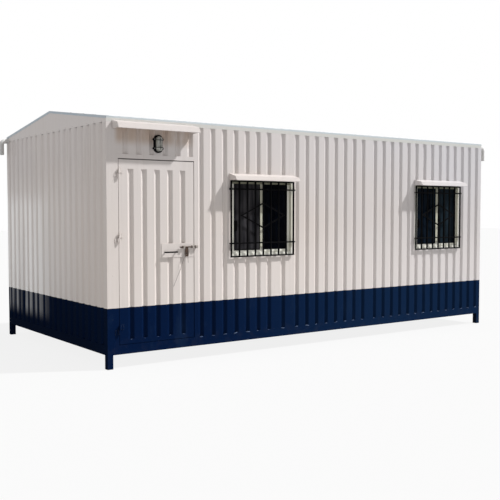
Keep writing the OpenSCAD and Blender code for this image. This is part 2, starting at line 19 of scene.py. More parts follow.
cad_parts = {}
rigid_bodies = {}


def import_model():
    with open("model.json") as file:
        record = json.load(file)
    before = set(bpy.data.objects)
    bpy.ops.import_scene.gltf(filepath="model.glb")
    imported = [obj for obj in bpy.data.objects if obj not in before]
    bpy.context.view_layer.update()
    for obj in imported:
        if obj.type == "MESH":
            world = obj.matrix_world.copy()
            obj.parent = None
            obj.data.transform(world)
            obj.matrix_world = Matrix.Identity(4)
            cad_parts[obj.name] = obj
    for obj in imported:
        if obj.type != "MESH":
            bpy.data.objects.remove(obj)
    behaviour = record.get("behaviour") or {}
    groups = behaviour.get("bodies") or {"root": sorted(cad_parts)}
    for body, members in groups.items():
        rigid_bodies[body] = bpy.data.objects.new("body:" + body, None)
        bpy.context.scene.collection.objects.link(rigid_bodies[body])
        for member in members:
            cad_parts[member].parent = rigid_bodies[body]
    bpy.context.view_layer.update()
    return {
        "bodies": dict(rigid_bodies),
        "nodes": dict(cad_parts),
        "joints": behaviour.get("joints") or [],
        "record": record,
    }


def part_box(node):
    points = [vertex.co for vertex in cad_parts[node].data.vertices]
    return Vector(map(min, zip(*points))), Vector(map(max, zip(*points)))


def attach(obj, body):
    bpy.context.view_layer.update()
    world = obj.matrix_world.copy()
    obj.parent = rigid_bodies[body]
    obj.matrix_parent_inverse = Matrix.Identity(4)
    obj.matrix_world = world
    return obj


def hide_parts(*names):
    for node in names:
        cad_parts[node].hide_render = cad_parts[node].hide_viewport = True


LOG = logging.getLogger("cabin")
# Height of the blue strip along the top of the eave bands, in metres.
EAVE_STRIP = 0.016

Piece = bpy.types.Object
Socket = bpy.types.NodeSocket
Colour = tuple[float, float, float, float]
Spot = tuple[float, float, float]
Span = tuple[float, float]

# Distance at which doubles are merged, in metres.
MERGE = 0.00002
# Cosine past which a normal or an edge counts as lying along an axis.
ALONG = 0.9


class Body(Enum):
    """The moving bodies that pieces ride on."""

    CABIN = "cabin"
    DOOR = "door"
    BOLT = "latch_bolt"


class Slot(Enum):
    """The record's material slots."""

    WALL = "wall_paint"
    NAVY = "navy_paint"
    ROOF = "roof_paint"
    BLACK = "black_paint"
    LATCH = "latch_steel"
    RUSTY = "rusty_steel"
    IVORY = "ivory_frame"
    GLASS = "tinted_glass"
    LAMP = "lamp_glass"
    SPOUT = "spout_plastic"
    FLOOR = "floor_board"
    LINING = "lining_board"


def rgb(red: float, green: float, blue: float) -> Colour:
    """Gives a colour with full alpha."""
    return (red, green, blue, 1.0)


WHITE = rgb(1.0, 1.0, 1.0)


@dataclass(frozen=True)
class Num:
    """A value socket of a shader, whose sums add Math nodes."""

    graph: "Graph"
    socket: Socket

    def _sum(self, operation: str, *feeds: "Num | float") -> "Num":
        """Adds one Math node.

        Args:
            operation: Name of the node's operation.
            feeds: What the node's sockets take, in order.

        Returns:
            The node's result.
        """
        node = self.graph.add("ShaderNodeMath", {"operation": operation}, dict(enumerate(feeds)))
        return Num(self.graph, node.outputs[0])

    def __add__(self, other: "Num | float") -> "Num":
        """Adds."""
        return self._sum("ADD", self, other)

    def __radd__(self, other: float) -> "Num":
        """Adds to a number."""
        return self._sum("ADD", other, self)

    def __sub__(self, other: "Num | float") -> "Num":
        """Takes away."""
        return self._sum("SUBTRACT", self, other)

    def __rsub__(self, other: float) -> "Num":
        """Takes away from a number."""
        return self._sum("SUBTRACT", other, self)

    def __mul__(self, other: "Num | float") -> "Num":
        """Multiplies."""
        return self._sum("MULTIPLY", self, other)

    def __rmul__(self, other: float) -> "Num":
        """Multiplies a number."""
        return self._sum("MULTIPLY", other, self)

    def larger(self, other: "Num | float") -> "Num":
        """Takes the larger of two values."""
        return self._sum("MAXIMUM", self, other)

    def wrapped(self, period: float) -> "Num":
        """Starts again from 0 at each period."""
        return self._sum("WRAP", self, period, 0.0)

    def ramp(self, low: float, high: float) -> "Num":
        """Rises smoothly from 0 to 1.

        Args:
            low: Value at which the rise starts.
            high: Value at which it ends.

        Returns:
            The risen value.
        """
        ends = {"Value": self, "From Min": low, "From Max": high}
        node = self.graph.add("ShaderNodeMapRange", {"interpolation_type": "SMOOTHSTEP"}, ends)
        return Num(self.graph, node.outputs[0])


class Graph:
    """The nodes of a material or a world."""

    def __init__(self, owner: bpy.types.Material | bpy.types.World) -> None:
        """Starts with no nodes.

        Args:
            owner: Material or world that takes the nodes.
        """
        owner.use_nodes = True
        self.tree = owner.node_tree
        self.tree.nodes.clear()

    def add(self, kind: str, settings: dict | None = None, sockets: dict | None = None) -> bpy.types.Node:
        """Adds a node.

        Args:
            kind: Type of the node.
            settings: Its settings, which are set first.
            sockets: Values or links of its input sockets, by name or number.

        Returns:
            The node.
        """
        node = self.tree.nodes.new(kind)
        for key, value in (settings or {}).items():
            setattr(node, key, value)
        for key, value in (sockets or {}).items():
            self.feed(node.inputs[key], value)
        return node

    def feed(self, socket: Socket, value: "Num | Socket | float | tuple") -> None:
        """Links a socket, or sets its own value.

        Args:
            socket: Input socket.
            value: Link or constant that it takes.
        """
        source = value.socket if isinstance(value, Num) else value
        if isinstance(source, Socket):
            self.tree.links.new(source, socket)
        else:
            socket.default_value = source

    def mix(self, share: "Num | float", first: "Socket | Colour", second: "Socket | Colour") -> Socket:
        """Mixes two colours.

        Args:
            share: Share of the second.
            first: First colour.
            second: Second colour.

        Returns:
            The mixed colour.
        """
        node = self.add("ShaderNodeMix", {"data_type": "RGBA"}, {0: share, 6: first, 7: second})
        return node.outputs[2]

    def seen(self) -> Num:
        """Finds the rays that show a surface to the camera.

        Returns:
            1 for camera, glossy and transmission rays, and 0 for the rest.
        """
        path = self.add("ShaderNodeLightPath").outputs
        camera, glossy, through = (
            Num(self, path[kind]) for kind in ("Is Camera Ray", "Is Glossy Ray", "Is Transmission Ray"))
        return camera.larger(glossy).larger(through)


@dataclass
class Paint(Graph):
    """A finish: one material with a Principled shader on Object coordinates."""

    name: str

    def __post_init__(self) -> None:
        """Starts the material."""
        self.material = bpy.data.materials.new(self.name)
        super().__init__(self.material)
        self.shader = self.add("ShaderNodeBsdfPrincipled")
        self.add("ShaderNodeOutputMaterial", {}, {"Surface": self.shader.outputs[0]})
        self.place = self.add("ShaderNodeTexCoord").outputs["Object"]

    def cover(self, piece: Piece) -> None:
        """Makes the finish a piece's only material."""
        piece.data.materials.clear()
        piece.data.materials.append(self.material)

    def finish(self, **sockets: Num | Socket | float | tuple) -> None:
        """Feeds the Principled shader.

        Args:
            sockets: Its sockets, with _ for a blank in a name.
        """
        for key, value in sockets.items():
            self.feed(self.shader.inputs[key.replace("_", " ")], value)

    def axes(self) -> tuple[Num, Num, Num]:
        """Gives the place along x, y and z as values."""
        node = self.add("ShaderNodeSeparateXYZ", {}, {0: self.place})
        return tuple(Num(self, socket) for socket in node.outputs)

    def noise(self, scale: float, stretch: Spot = (1, 1, 1), detail: float = 2.0, rough: float = 0.5) -> Num:
        """Adds a noise.

        Args:
            scale: Repeats per metre.
            stretch: Factors on the place along x, y and z.
            detail: Octaves.
            rough: Share of the finer octaves.

        Returns:
            The noise, about 0.5 in the middle.
        """
        place = self.add("ShaderNodeVectorMath", {"operation": "MULTIPLY"}, {0: self.place, 1: stretch})
        sockets = {"Vector": place.outputs[0], "Scale": scale, "Detail": detail, "Roughness": rough}
        return Num(self, self.add("ShaderNodeTexNoise", {}, sockets).outputs[0])

    def normal(self, kind: str) -> Socket:
        """Gives one of the surface's own normals."""
        return self.add("ShaderNodeNewGeometry").outputs[kind]

    def rounded(self, radius: float) -> Socket:
        """Gives the normal of a surface whose corners are rounded."""
        return self.add("ShaderNodeBevel", {"samples": 6}, {"Radius": radius}).outputs[0]

    def edge(self, radius: float) -> Num:
        """Finds corners.

        Args:
            radius: How far from a corner to look.

        Returns:
            0 on flat faces, rising towards corners.
        """
        sockets = {0: self.rounded(radius), 1: self.normal("True Normal")}
        node = self.add("ShaderNodeVectorMath", {"operation": "DOT_PRODUCT"}, sockets)
        return 1 - Num(self, node.outputs["Value"])

    def facing(self) -> tuple[Num, Num, Num]:
        """Gives the way that a face looks, along x, y and z."""
        node = self.add("ShaderNodeSeparateXYZ", {}, {0: self.normal("True Normal")})
        return tuple(Num(self, socket) for socket in node.outputs)

    def bump(self, height: Num, normal: Socket) -> Socket:
        """Turns heights in metres into a normal.

        Args:
            height: Height of the surface.
            normal: Normal that the bump starts from.

        Returns:
            The bumped normal.
        """
        sockets = {"Strength": 1.0, "Distance": 1.0, "Height": height, "Normal": normal}
        return self.add("ShaderNodeBump", {}, sockets).outputs[0]


@dataclass
class TwoToneEnamel(Paint):
    """Gloss enamel on sheet steel, white over a navy foot."""

    line: float = 0.648
    line_wobble: float = 0.004
    line_blur: float = 0.0015
    eave: float = 9.0
    eave_blur: float = 0.001
    white: Colour = rgb(0.692, 0.632, 0.596)
    white_cool: Colour = rgb(0.652, 0.640, 0.664)
    # Dirt, and painted shade on tops, right-facing faces and the left end.
    grime_and_painted_shade: Colour = rgb(0.36, 0.31, 0.27)
    navy: Colour = rgb(0.0025, 0.0102, 0.0415)
    navy_right: Colour = rgb(0.0058, 0.0190, 0.0560)
    navy_worn: Colour = rgb(0.011, 0.026, 0.064)
    dust: Colour = rgb(0.060, 0.056, 0.056)
    rust: Colour = rgb(0.16, 0.075, 0.04)
    bared: Colour = rgb(0.15, 0.17, 0.21)
    eave_blue: Colour = rgb(0.58, 0.63, 0.65)
    navy_shade: Colour = rgb(0.0024, 0.0060, 0.0170)
    # Painted light on the left end, and painted reflection along its gloss streaks.
    painted_highlight: Colour = rgb(0.92, 0.90, 0.89)
    warm: Colour = rgb(0.92, 0.85, 0.81)
    # Brown band just under the door canopy.
    canopy_brown: Colour = rgb(0.40, 0.25, 0.14)
    brown_rise: Span = (2.35, 2.46)
    brown_stop: Span = (2.600, 2.606)
    brown_start: Span = (-2.97, -2.90)
    brown_end: Span = (-2.05, -1.95)
    brown_face: Span = (-1.4525, -1.4495)
    brown_back: Span = (-1.40, -1.38)
    low_wall: Span = (0.8, 1.7)
    square_on: Span = (0.55, 0.95)
    wear: float = 0.55
    wear_start: float = 0.63
    wear_reach: float = 0.004
    corner: float = 0.0035

    def __post_init__(self) -> None:
        """Makes the nodes."""
        super().__post_init__()
        self.across, self.depth, self.height = self.axes()
        right, _, up = self.facing()
        self.left = (0 - right).ramp(*self.square_on)
        self.right = right.ramp(*self.square_on)
        self.top = up.ramp(0.15, 0.50)
        self.runs = self.noise(1.0, (24, 24, 0.8), 4.0).ramp(0.50, 0.80)
        self.splash = (1 - self.height.ramp(0.08, 0.40)) * self.noise(12.0, detail=5.0).ramp(0.45, 0.75)
        # Gloss streaks stand on the outer flats of the left end's sheets: more coat there, and a painted
        # reflection in the colour.
        flats = self.left * (1 - self.across.ramp(-3.045, -3.034)) * self.depth.ramp(0.0, 0.7)
        streaks = self.noise(1.0, (1, 9, 0.3)).ramp(0.36, 0.56)
        self.gloss = flats * (1 - self.height.ramp(1.70, 1.95)) * self.height.ramp(0.30, 0.48) * streaks
        wobble = (self.noise(6.0) - 0.5) * self.line_wobble
        foot = 1 - (self.height + wobble).ramp(self.line - self.line_blur, self.line + self.line_blur)
        chips = self.noise(38.0, detail=3.0).ramp(self.wear_start, self.wear_start + 0.07)
        chips = self.edge(self.wear_reach).ramp(0.05, 0.25) * chips
        colour = self.mix(foot, self._white(), self._navy())
        bared = self.mix(foot, self.rust, self.bared)
        dents = self.noise(2.2, (1, 1, 0.7), 1.0) * 0.0035
        peel = self.noise(190.0, detail=1.0) * 0.00006
        self.finish(
            Base_Color=self.mix(chips * (self.wear - foot * 0.15), colour, bared),
            Roughness=0.34 + self.runs * 0.10 + self.splash * 0.25 + chips * 0.2,
            Coat_Weight=0.32 * (1 - self.top) * (1 - foot * 0.97) * (1 - self.right * 0.8) + self.gloss * 0.9,
            Coat_Roughness=0.14,
            Specular_IOR_Level=0.0,
            Normal=self.bump(dents + peel + self.runs * 0.00008, self.rounded(self.corner)),
        )

    def _canopy_brown_share(self) -> Num:
        """Browns the front wall over the door, just under its canopy.

        Returns:
            The share of brown.
        """
        share = self.height.ramp(*self.brown_rise) * (1 - self.height.ramp(*self.brown_stop))
        share = share * self.across.ramp(*self.brown_start) * (1 - self.across.ramp(*self.brown_end))
        share = share * self.depth.ramp(*self.brown_face) * (1 - self.depth.ramp(*self.brown_back))
        return share * self.noise(7.0, (1, 1, 0.3), 4.0).ramp(0.20, 0.60) * 0.55

    def _white(self) -> Socket:
        """Mixes the white of the upper walls, with painted light and shade on the left end and painted shade on
        tops and right-facing faces.

        Returns:
            The colour.
        """
        low = 1 - self.height.ramp(*self.low_wall)
        # Cooler upwards and to the right, warmer low down.
        cloud = self.noise(0.8, detail=3.0).ramp(0.35, 0.65)
        cool = self.height.ramp(1.4, 2.6) * 0.35 + self.across.ramp(-1.0, 3.0) * 0.60 + cloud * 0.15 - 0.05
        colour = self.mix(cool, self.white, self.white_cool)
        warm = low * (self.across.ramp(-2.2, -0.6) * 0.15 + 0.10)
        colour = self.mix(warm * (1 - self.left), colour, self.warm)
        colour = self.mix(self._canopy_brown_share(), colour, self.canopy_brown)
        # Painted light and painted shade on the left end: it is brighter far back and low down, and duller near
        # the front and high up.
        lit = self.depth.ramp(-1.3, 0.9) * 0.50 + self.depth.ramp(-1.0, 1.2) * low * 0.32
        colour = self.mix(self.left * lit * (1 - self.height.ramp(1.6, 2.3)), colour, self.painted_highlight)
        painted_end_shade = (1 - self.depth.ramp(-1.4, -0.3)) * 0.14 + self.height.ramp(1.7, 2.4) * (self.runs * 0.35 + 0.06)
        colour = self.mix(self.left * painted_end_shade * (1 - self.height.ramp(2.59, 2.62)), colour, self.grime_and_painted_shade)
        # Painted reflection along the gloss streaks.
        colour = self.mix(self.gloss * 0.6, colour, self.painted_highlight)
        # The strip along the top of an eave band is blue.
        strip = self.height.ramp(self.eave - self.eave_blur, self.eave + self.eave_blur)
        colour = self.mix(strip, colour, self.eave_blue)
        speck = self.noise(70.0, detail=1.0).ramp(0.74, 0.80)
        # Dirt from runs and specks, and painted shade on tops and right-facing faces.
        dirt_and_painted_shade = self.runs * 0.10 + speck * 0.12 + self.top * 0.22 + self.right * 0.36
        return self.mix(dirt_and_painted_shade, colour, self.grime_and_painted_shade)

    def _navy(self) -> Socket:
        """Mixes the navy of the foot.

        Returns:
            The colour.
        """
        scuff = self.noise(4.0, (1, 1, 0.4), 6.0, 0.65).ramp(0.54, 0.72)
        colour = self.mix(self.across.ramp(-2.4, 1.4), self.navy, self.navy_right)
        colour = self.mix(scuff * 0.40, colour, self.navy_worn)
        colour = self.mix(self.splash * 0.14, colour, self.dust)
        return self.mix(self.left * 0.75, colour, self.navy_shade)


@dataclass
class Enamel(Paint):
    """One colour of paint or coating with worn corners and faint runs, and where asked painted light below a
    line and on spans across.
    """

    colour: Colour
    faded: Colour
    bare: Colour
    gloss: float = 0.35
    wear: float = 0.5
    wear_reach: float = 0.003
    runs: float = 0.15
    shine: float = 0.25
    peel: float = 0.00006
    painted_light: Colour = WHITE
    painted_light_line: float = -1.0
    painted_light_spans: tuple[Span, ...] = ()
    painted_light_blur: float = 0.02
    span_blur: float = 0.004

    def __post_init__(self) -> None:
        """Makes the nodes."""
        super().__post_init__()
        cloud = self.noise(3.0, detail=4.0).ramp(0.35, 0.68)
        runs = self.noise(1.0, (30, 30, 1.2), 4.0).ramp(0.48, 0.80)
        fine = self.noise(55.0, detail=4.0)
        edge = self.edge(self.wear_reach).ramp(0.04, 0.30)
        flakes = self.noise(22.0, detail=5.0, rough=0.7).ramp(0.70, 0.76)
        worn = (edge * fine.ramp(0.48, 0.60)).larger(flakes) * self.wear
        colour = self.mix(cloud * 0.6 + runs * self.runs, self.colour, self.faded)
        across, _, height = self.axes()
        # Painted light below the line and on the spans.
        painted_lit = 1 - height.ramp(self.painted_light_line - self.painted_light_blur, self.painted_light_line + self.painted_light_blur)
        for start, end in self.painted_light_spans:
            inside = across.ramp(start - self.span_blur, start) * (1 - across.ramp(end, end + self.span_blur))
            painted_lit = painted_lit.larger(inside)
        colour = self.mix(painted_lit, colour, self.painted_light)
        colour = self.mix(worn, colour, self.bare)
        relief = self.noise(210.0, detail=2.0) * self.peel - worn * 0.00025
        self.finish(
            Base_Color=colour,
            Roughness=self.gloss + cloud * 0.10 + worn * 0.30,
            Specular_IOR_Level=self.shine,
            Normal=self.bump(relief, self.rounded(self.wear_reach * 0.6)),
        )


@dataclass
class RustySteel(Paint):
    """Bare bar steel gone brown, with pits and rubbed spots."""

    brown: Colour = rgb(0.032, 0.019, 0.013)
    orange: Colour = rgb(0.080, 0.042, 0.022)
    rubbed: Colour = rgb(0.12, 0.108, 0.098)

    def __post_init__(self) -> None:
        """Makes the nodes."""
        super().__post_init__()
        patches = self.noise(40.0, detail=6.0, rough=0.7)
        pits = self.noise(320.0, detail=3.0)
        rubbed = self.edge(0.003).ramp(0.05, 0.3) * self.noise(60.0).ramp(0.45, 0.6)
        colour = self.mix(patches.ramp(0.42, 0.62), self.brown, self.orange)
        colour = self.mix(rubbed * 0.7, colour, self.rubbed)
        height = pits * 0.0003 + patches * 0.0006
        self.finish(
            Base_Color=colour,
            Roughness=0.82 - rubbed * 0.4,
            Metallic=rubbed * 0.7,
            Normal=self.bump(height, self.rounded(0.0015)),
        )


@dataclass
class TintedGlass(Paint):
    """Dark window glass, each pane with its own film colour over the tint, laid on in a pattern of dust and
    wiping.
    """

    tint: Colour = rgb(0.0006, 0.0012, 0.0030)
    films: tuple[Colour, ...] = (
        rgb(0.080, 0.077, 0.083),
        rgb(0.0011, 0.0022, 0.0056),
        rgb(0.0064, 0.0135, 0.0245),
        rgb(0.0210, 0.0350, 0.0480),
    )
    starts: tuple[float, ...] = (-1.000, 0.500, 2.100)

    def __post_init__(self) -> None:
        """Makes the nodes."""
        super().__post_init__()
        across = self.axes()[0]
        film = self.films[0]
        for start, colour in zip(self.starts, self.films[1:]):
            film = self.mix(across.ramp(start - 0.002, start + 0.002), film, colour)
        wiped = self.noise(2.0, (7, 7, 0.5), 3.0).ramp(0.34, 0.62)
        spots = self.noise(85.0, detail=2.0).ramp(0.72, 0.80)
        dust = self.noise(5.0, (1, 1, 0.5), 5.0).ramp(0.25, 0.70) * 0.35 + wiped * 0.55 + spots * 0.10
        ripple = self.noise(7.0, detail=1.0) * 0.0006
        self.finish(
            Base_Color=self.mix(dust, self.tint, film),
            Roughness=0.05 + dust * 0.3,
            Alpha=0.96 + dust * 0.04,
            Specular_IOR_Level=0.015,
            Normal=self.bump(ripple, self.normal("Normal")),
        )


@dataclass
class LampGlass(Paint):
    """Cloudy pressed glass."""

    clear: Colour = rgb(0.42, 0.42, 0.38)
    cloudy: Colour = rgb(0.22, 0.22, 0.20)

    def __post_init__(self) -> None:
        """Makes the nodes."""
        super().__post_init__()
        film = self.noise(38.0, detail=4.0).ramp(0.35, 0.70)
        stipple = self.noise(260.0, detail=1.0)
        self.finish(
            Base_Color=self.mix(film, self.clear, self.cloudy),
            Roughness=0.10 + film * 0.22,
            Coat_Weight=0.6 - film * 0.3,
            Coat_Roughness=0.05,
            Normal=self.bump(stipple * 0.0003, self.rounded(0.002)),
        )


@dataclass
class Board(Paint):
    """Wooden board with grain along one way, in sheets or planks with open joints."""

    light: Colour
    dark: Colour
    joint: Colour
    stretch: Spot
    plank: float
    gloss: float = 0.55

    def __post_init__(self) -> None:
        """Makes the nodes."""
        super().__post_init__()
        across, depth, _ = self.axes()
        grain = self.noise(1.0, self.stretch, 6.0, 0.62)
        cloud = self.noise(1.6, detail=3.0)
        gap = (across + depth).wrapped(self.plank)
        joint = (1 - gap.ramp(0.0015, 0.0035)).larger(gap.ramp(self.plank - 0.0035, self.plank - 0.0015))
        colour = self.mix(grain.ramp(0.36, 0.66) * 0.7 + cloud * 0.3, self.light, self.dark)
        colour = self.mix(joint * 0.8, colour, self.joint)
        self.finish(
            Base_Color=colour,
            Roughness=self.gloss + grain * 0.2,
            Specular_IOR_Level=0.3,
            Normal=self.bump(grain * 0.0004 - joint * 0.002, self.normal("Normal")),
        )


class Store:
    """All finishes, made once and handed out by slot or by node."""

    def __init__(self, eave: float) -> None:
        """Makes the finishes.

        Args:
            eave: Height of the blue strip's lower edge on the eave bands.
        """
        enamel = TwoToneEnamel("cabin_enamel")
        pale, pale_cool = rgb(0.650, 0.630, 0.600), rgb(0.630, 0.636, 0.612)
        band = TwoToneEnamel("eave_band_enamel", eave=eave, white=pale, white_cool=pale_cool)
        hinge = TwoToneEnamel("hinge_enamel", wear=0.95, wear_start=0.46)
        black = Enamel(
            "black_enamel", rgb(0.0016, 0.0016, 0.0020), rgb(0.0040, 0.0040, 0.0046), rgb(0.04, 0.024, 0.016),
            gloss=0.45, wear=0.20, shine=0.03,
        )
        roofing = {"bare": rgb(0.26, 0.20, 0.16), "gloss": 0.46, "wear": 0.20, "wear_reach": 0.004, "runs": 0.3}
        roof = Enamel("roof_enamel", rgb(0.46, 0.53, 0.59), rgb(0.56, 0.60, 0.62), shine=0.06, **roofing)
        # The roof sheets and ridge cap take a darker copy of the roof enamel: painted shade on the sunlit
        # slopes.
        sheet = Enamel(
            "roof_sheet_shaded_enamel", rgb(0.37, 0.425, 0.47), rgb(0.45, 0.48, 0.495), shine=0.04, **roofing,
        )
        latch = Enamel(
            "latch_paint", rgb(0.44, 0.40, 0.37), rgb(0.27, 0.235, 0.205), rgb(0.105, 0.060, 0.036),
            gloss=0.50, wear=0.90, wear_reach=0.005, runs=0.5, shine=0.10,
        )
        spout = Enamel(
            "spout_pipe", rgb(0.68, 0.68, 0.68), rgb(0.60, 0.59, 0.57), rgb(0.40, 0.38, 0.35),
            gloss=0.40, wear=0.20, runs=0.35, shine=0.10,
        )
        # The window coatings get painted light below the sill line.
        coating = {
            "bare": rgb(0.35, 0.34, 0.30), "gloss": 0.40, "wear_reach": 0.002, "shine": 0.10,
            "painted_light": rgb(0.95, 0.945, 0.86), "painted_light_line": 1.235,
        }
        # The sashes take a darker ivory than the frames, painted shade, with painted light on their outer
        # stiles.
        ivory = Enamel(
            "ivory_coat", rgb(0.66, 0.65, 0.53), rgb(0.58, 0.57, 0.47), wear=0.25, **coating,
            painted_light_spans=((-1.462, -1.424), (-0.616, -0.576), (1.646, 1.684), (2.492, 2.532)),
        )
        # The frames get painted light on their left jambs.
        self.frame = Enamel(
            "ivory_frame_coat", rgb(0.80, 0.79, 0.67), rgb(0.72, 0.71, 0.60), wear=0.20, **coating,
            painted_light_spans=((-1.490, -1.450), (1.618, 1.658)),
        )
        # Painted shade: the head strips under the canopies take a dark ivory.
        self.head_shade_coat = Enamel(
            "shaded_ivory_coat", rgb(0.30, 0.30, 0.22), rgb(0.22, 0.22, 0.16), rgb(0.12, 0.12, 0.09),
            gloss=0.55, wear=0.3, wear_reach=0.002, shine=0.05,
        )
        self.rubber = Enamel(
            "seal_rubber", rgb(0.006, 0.006, 0.006), rgb(0.015, 0.015, 0.014), rgb(0.03, 0.03, 0.03),
            gloss=0.62, wear=0.2, shine=0.05,
        )
        self.zinc = Enamel(
            "zinc_screw", rgb(0.42, 0.43, 0.44), rgb(0.30, 0.30, 0.30), rgb(0.20, 0.12, 0.07),
            gloss=0.40, wear=0.3,
        )
        # Paint on the weld dabs, lighter than the navy: real paint, and a painted highlight for the glints at
        # the groove feet.
        self.splash = Enamel(
            "weld_paint_and_glint", rgb(0.040, 0.064, 0.130), rgb(0.105, 0.145, 0.230), rgb(0.01, 0.02, 0.05),
            gloss=0.45, wear=0.6, shine=0.04,
        )
        deck = Board(
            "deck_board", rgb(0.36, 0.27, 0.18), rgb(0.22, 0.15, 0.095), rgb(0.05, 0.04, 0.03),
            stretch=(3, 40, 40), plank=0.61, gloss=0.6,
        )
        lining = Board(
            "lining_sheet", rgb(0.62, 0.54, 0.42), rgb(0.50, 0.41, 0.30), rgb(0.16, 0.12, 0.08),
            stretch=(34, 34, 1.6), plank=1.22,
        )
        self.by_slot: dict[Slot, Paint] = {
            Slot.WALL: enamel,
            Slot.NAVY: enamel,
            Slot.ROOF: roof,
            Slot.BLACK: black,
            Slot.LATCH: latch,
            Slot.RUSTY: RustySteel("rusty_bar"),
            Slot.IVORY: ivory,
            Slot.GLASS: TintedGlass("window_glass"),
            Slot.LAMP: LampGlass("lamp_lens_glass"),
            Slot.SPOUT: spout,
            Slot.FLOOR: deck,
            Slot.LINING: lining,
        }
        self.by_node: dict[str, Paint] = {
            "gutter_front": band,
            "gutter_back": band,
            "roof_sheet_front": sheet,
            "roof_sheet_back": sheet,
            "ridge_cap": sheet,
            "window_frames": self.frame,
            "hinge_frame_halves": hinge,
            "hinge_leaf_halves": hinge,
        }

    def dress(self, frame: dict) -> None:
        """Gives every solid of the frame its finish.
        """
        for part in frame["record"]["subparts"]:
            name = part["node"]
            finish = self.by_node.get(name, self.by_slot[Slot(part["material_slot"])])
            finish.cover(frame["nodes"][name])
            LOG.info("solid %s: %s", name, finish.name)


class Bench:
    """The modelling bench: primitives added at their size and place, and shaped with operators."""

    @staticmethod
    def only(piece: Piece | None) -> None:
        """Selects one piece, or nothing.

        Args:
            piece: The piece, or None.
        """
        bpy.ops.object.select_all(action="DESELECT")
        if piece:
            piece.select_set(True)
            bpy.context.view_layer.objects.active = piece

    @staticmethod
    def settle() -> Piece:
        """Moves the new primitive's place into its mesh, and gives the piece."""
        bpy.ops.object.transform_apply(location=True, rotation=True, scale=True)
        return bpy.context.object

    @classmethod
    def block(cls, low: Vector, high: Vector) -> Piece:
        """Adds a cube between two corners.

        Args:
            low: Lowest corner.
            high: Highest corner.

        Returns:
            The piece.
        """
        cls.only(None)
        bpy.ops.mesh.primitive_cube_add(size=1, location=(low + high) / 2, scale=high - low)
        return cls.settle()

    @classmethod
    def rod(cls, start: Vector, end: Vector, radius: float, sides: int) -> Piece:
        """Adds a cylinder between two points.

        Args:
            start: Middle of one end.
            end: Middle of the other end.
            radius: Radius.
            sides: Number of sides.

        Returns:
            The piece.
        """
        cls.only(None)
        turn = (end - start).to_track_quat("Z", "Y").to_euler()
        size = {"vertices": sides, "radius": radius, "depth": (end - start).length}
        bpy.ops.mesh.primitive_cylinder_add(location=(start + end) / 2, rotation=turn, **size)
        return cls.settle()

    @classmethod
    def disc(cls, middle: Vector, facing: Vector, radius: float, sides: int) -> Piece:
        """Adds a filled circle.

        Args:
            middle: Middle of the circle.
            facing: Way that it faces.
            radius: Radius.
            sides: Number of sides.

        Returns:
            The piece.
        """
        cls.only(None)
        turn = facing.to_track_quat("Z", "Y").to_euler()
        size = {"vertices": sides, "radius": radius, "fill_type": "NGON"}
        bpy.ops.mesh.primitive_circle_add(location=middle, rotation=turn, **size)
        return cls.settle()

    @classmethod
    @contextmanager
    def shaping(cls, piece: Piece) -> Iterator[None]:
        """Opens a piece in edit mode with nothing selected, and closes it again.

        Args:
            piece: The piece.

        Yields:
            Nothing.
        """
        cls.only(piece)
        bpy.ops.object.mode_set(mode="EDIT")
        bpy.ops.mesh.select_mode(type="FACE")
        bpy.ops.mesh.select_all(action="DESELECT")
        yield
        bpy.ops.object.mode_set(mode="OBJECT")

    @staticmethod
    def faces(piece: Piece, test: Callable[[Vector, Vector], bool]) -> None:
        """Selects faces in edit mode.

        Args:
            piece: The piece.
            test: Says of a face's middle and normal whether it is taken.
        """
        bpy.ops.mesh.select_mode(type="FACE")
        bpy.ops.mesh.select_all(action="DESELECT")
        mesh = bmesh.from_edit_mesh(piece.data)
        for face in mesh.faces:
            face.select_set(test(face.calc_center_median(), face.normal))
        bmesh.update_edit_mesh(piece.data)

    @staticmethod
    def edges(piece: Piece, test: Callable[[Vector, Vector], bool]) -> None:
        """Selects edges in edit mode.

        Args:
            piece: The piece.
            test: Says of an edge's middle and direction whether it is taken.
        """
        bpy.ops.mesh.select_mode(type="EDGE")
        bpy.ops.mesh.select_all(action="DESELECT")
        mesh = bmesh.from_edit_mesh(piece.data)
        for edge in mesh.edges:
            a, b = (vert.co for vert in edge.verts)
            edge.select_set(test((a + b) / 2, (b - a).normalized()))
        bmesh.update_edit_mesh(piece.data)

    @classmethod
    def close(cls, piece: Piece, angle: float = 35.0) -> Piece:
        """Merges doubles, turns faces outwards and smooths flat angles.

        Args:
            piece: The piece.
            angle: Angle up to which edges are smooth, in degrees.

        Returns:
            The piece.
        """
        with cls.shaping(piece):
            bpy.ops.mesh.select_all(action="SELECT")
            bpy.ops.mesh.remove_doubles(threshold=MERGE)
            bpy.ops.mesh.normals_make_consistent(inside=False)
        cls.only(piece)
        bpy.ops.object.shade_smooth_by_angle(angle=math.radians(angle))
        return piece

    @staticmethod
    def extrude(way: Spot) -> None:
        """Extrudes the selected faces."""
        bpy.ops.mesh.extrude_region_move(TRANSFORM_OT_translate={"value": way})

    @classmethod
    def lip(cls, low: Vector, high: Vector) -> Piece:
        """Models the folded hem under a canopy's front strip.

        Args:
            low: Lowest corner of the canopy.
            high: Highest corner of the canopy.

        Returns:
            The lip.
        """
        drop, thick, sunk, round_off = 0.004, 0.003, 0.001, 0.0008
        fold, slack = (0, 0.002, -0.001), 0.0005
        foot = low.z - drop
        lip = cls.block(Vector((low.x, low.y, foot)), Vector((high.x, low.y + thick, low.z + sunk)))
        with cls.shaping(lip):
            cls.faces(lip, lambda middle, normal: normal.z < -ALONG)
            cls.extrude(fold)
            cls.edges(lip, lambda middle, way: abs(way.x) > ALONG and middle.z < foot + slack)
            bpy.ops.mesh.bevel(offset=round_off, segments=2, affect="EDGES")
        return cls.close(lip)

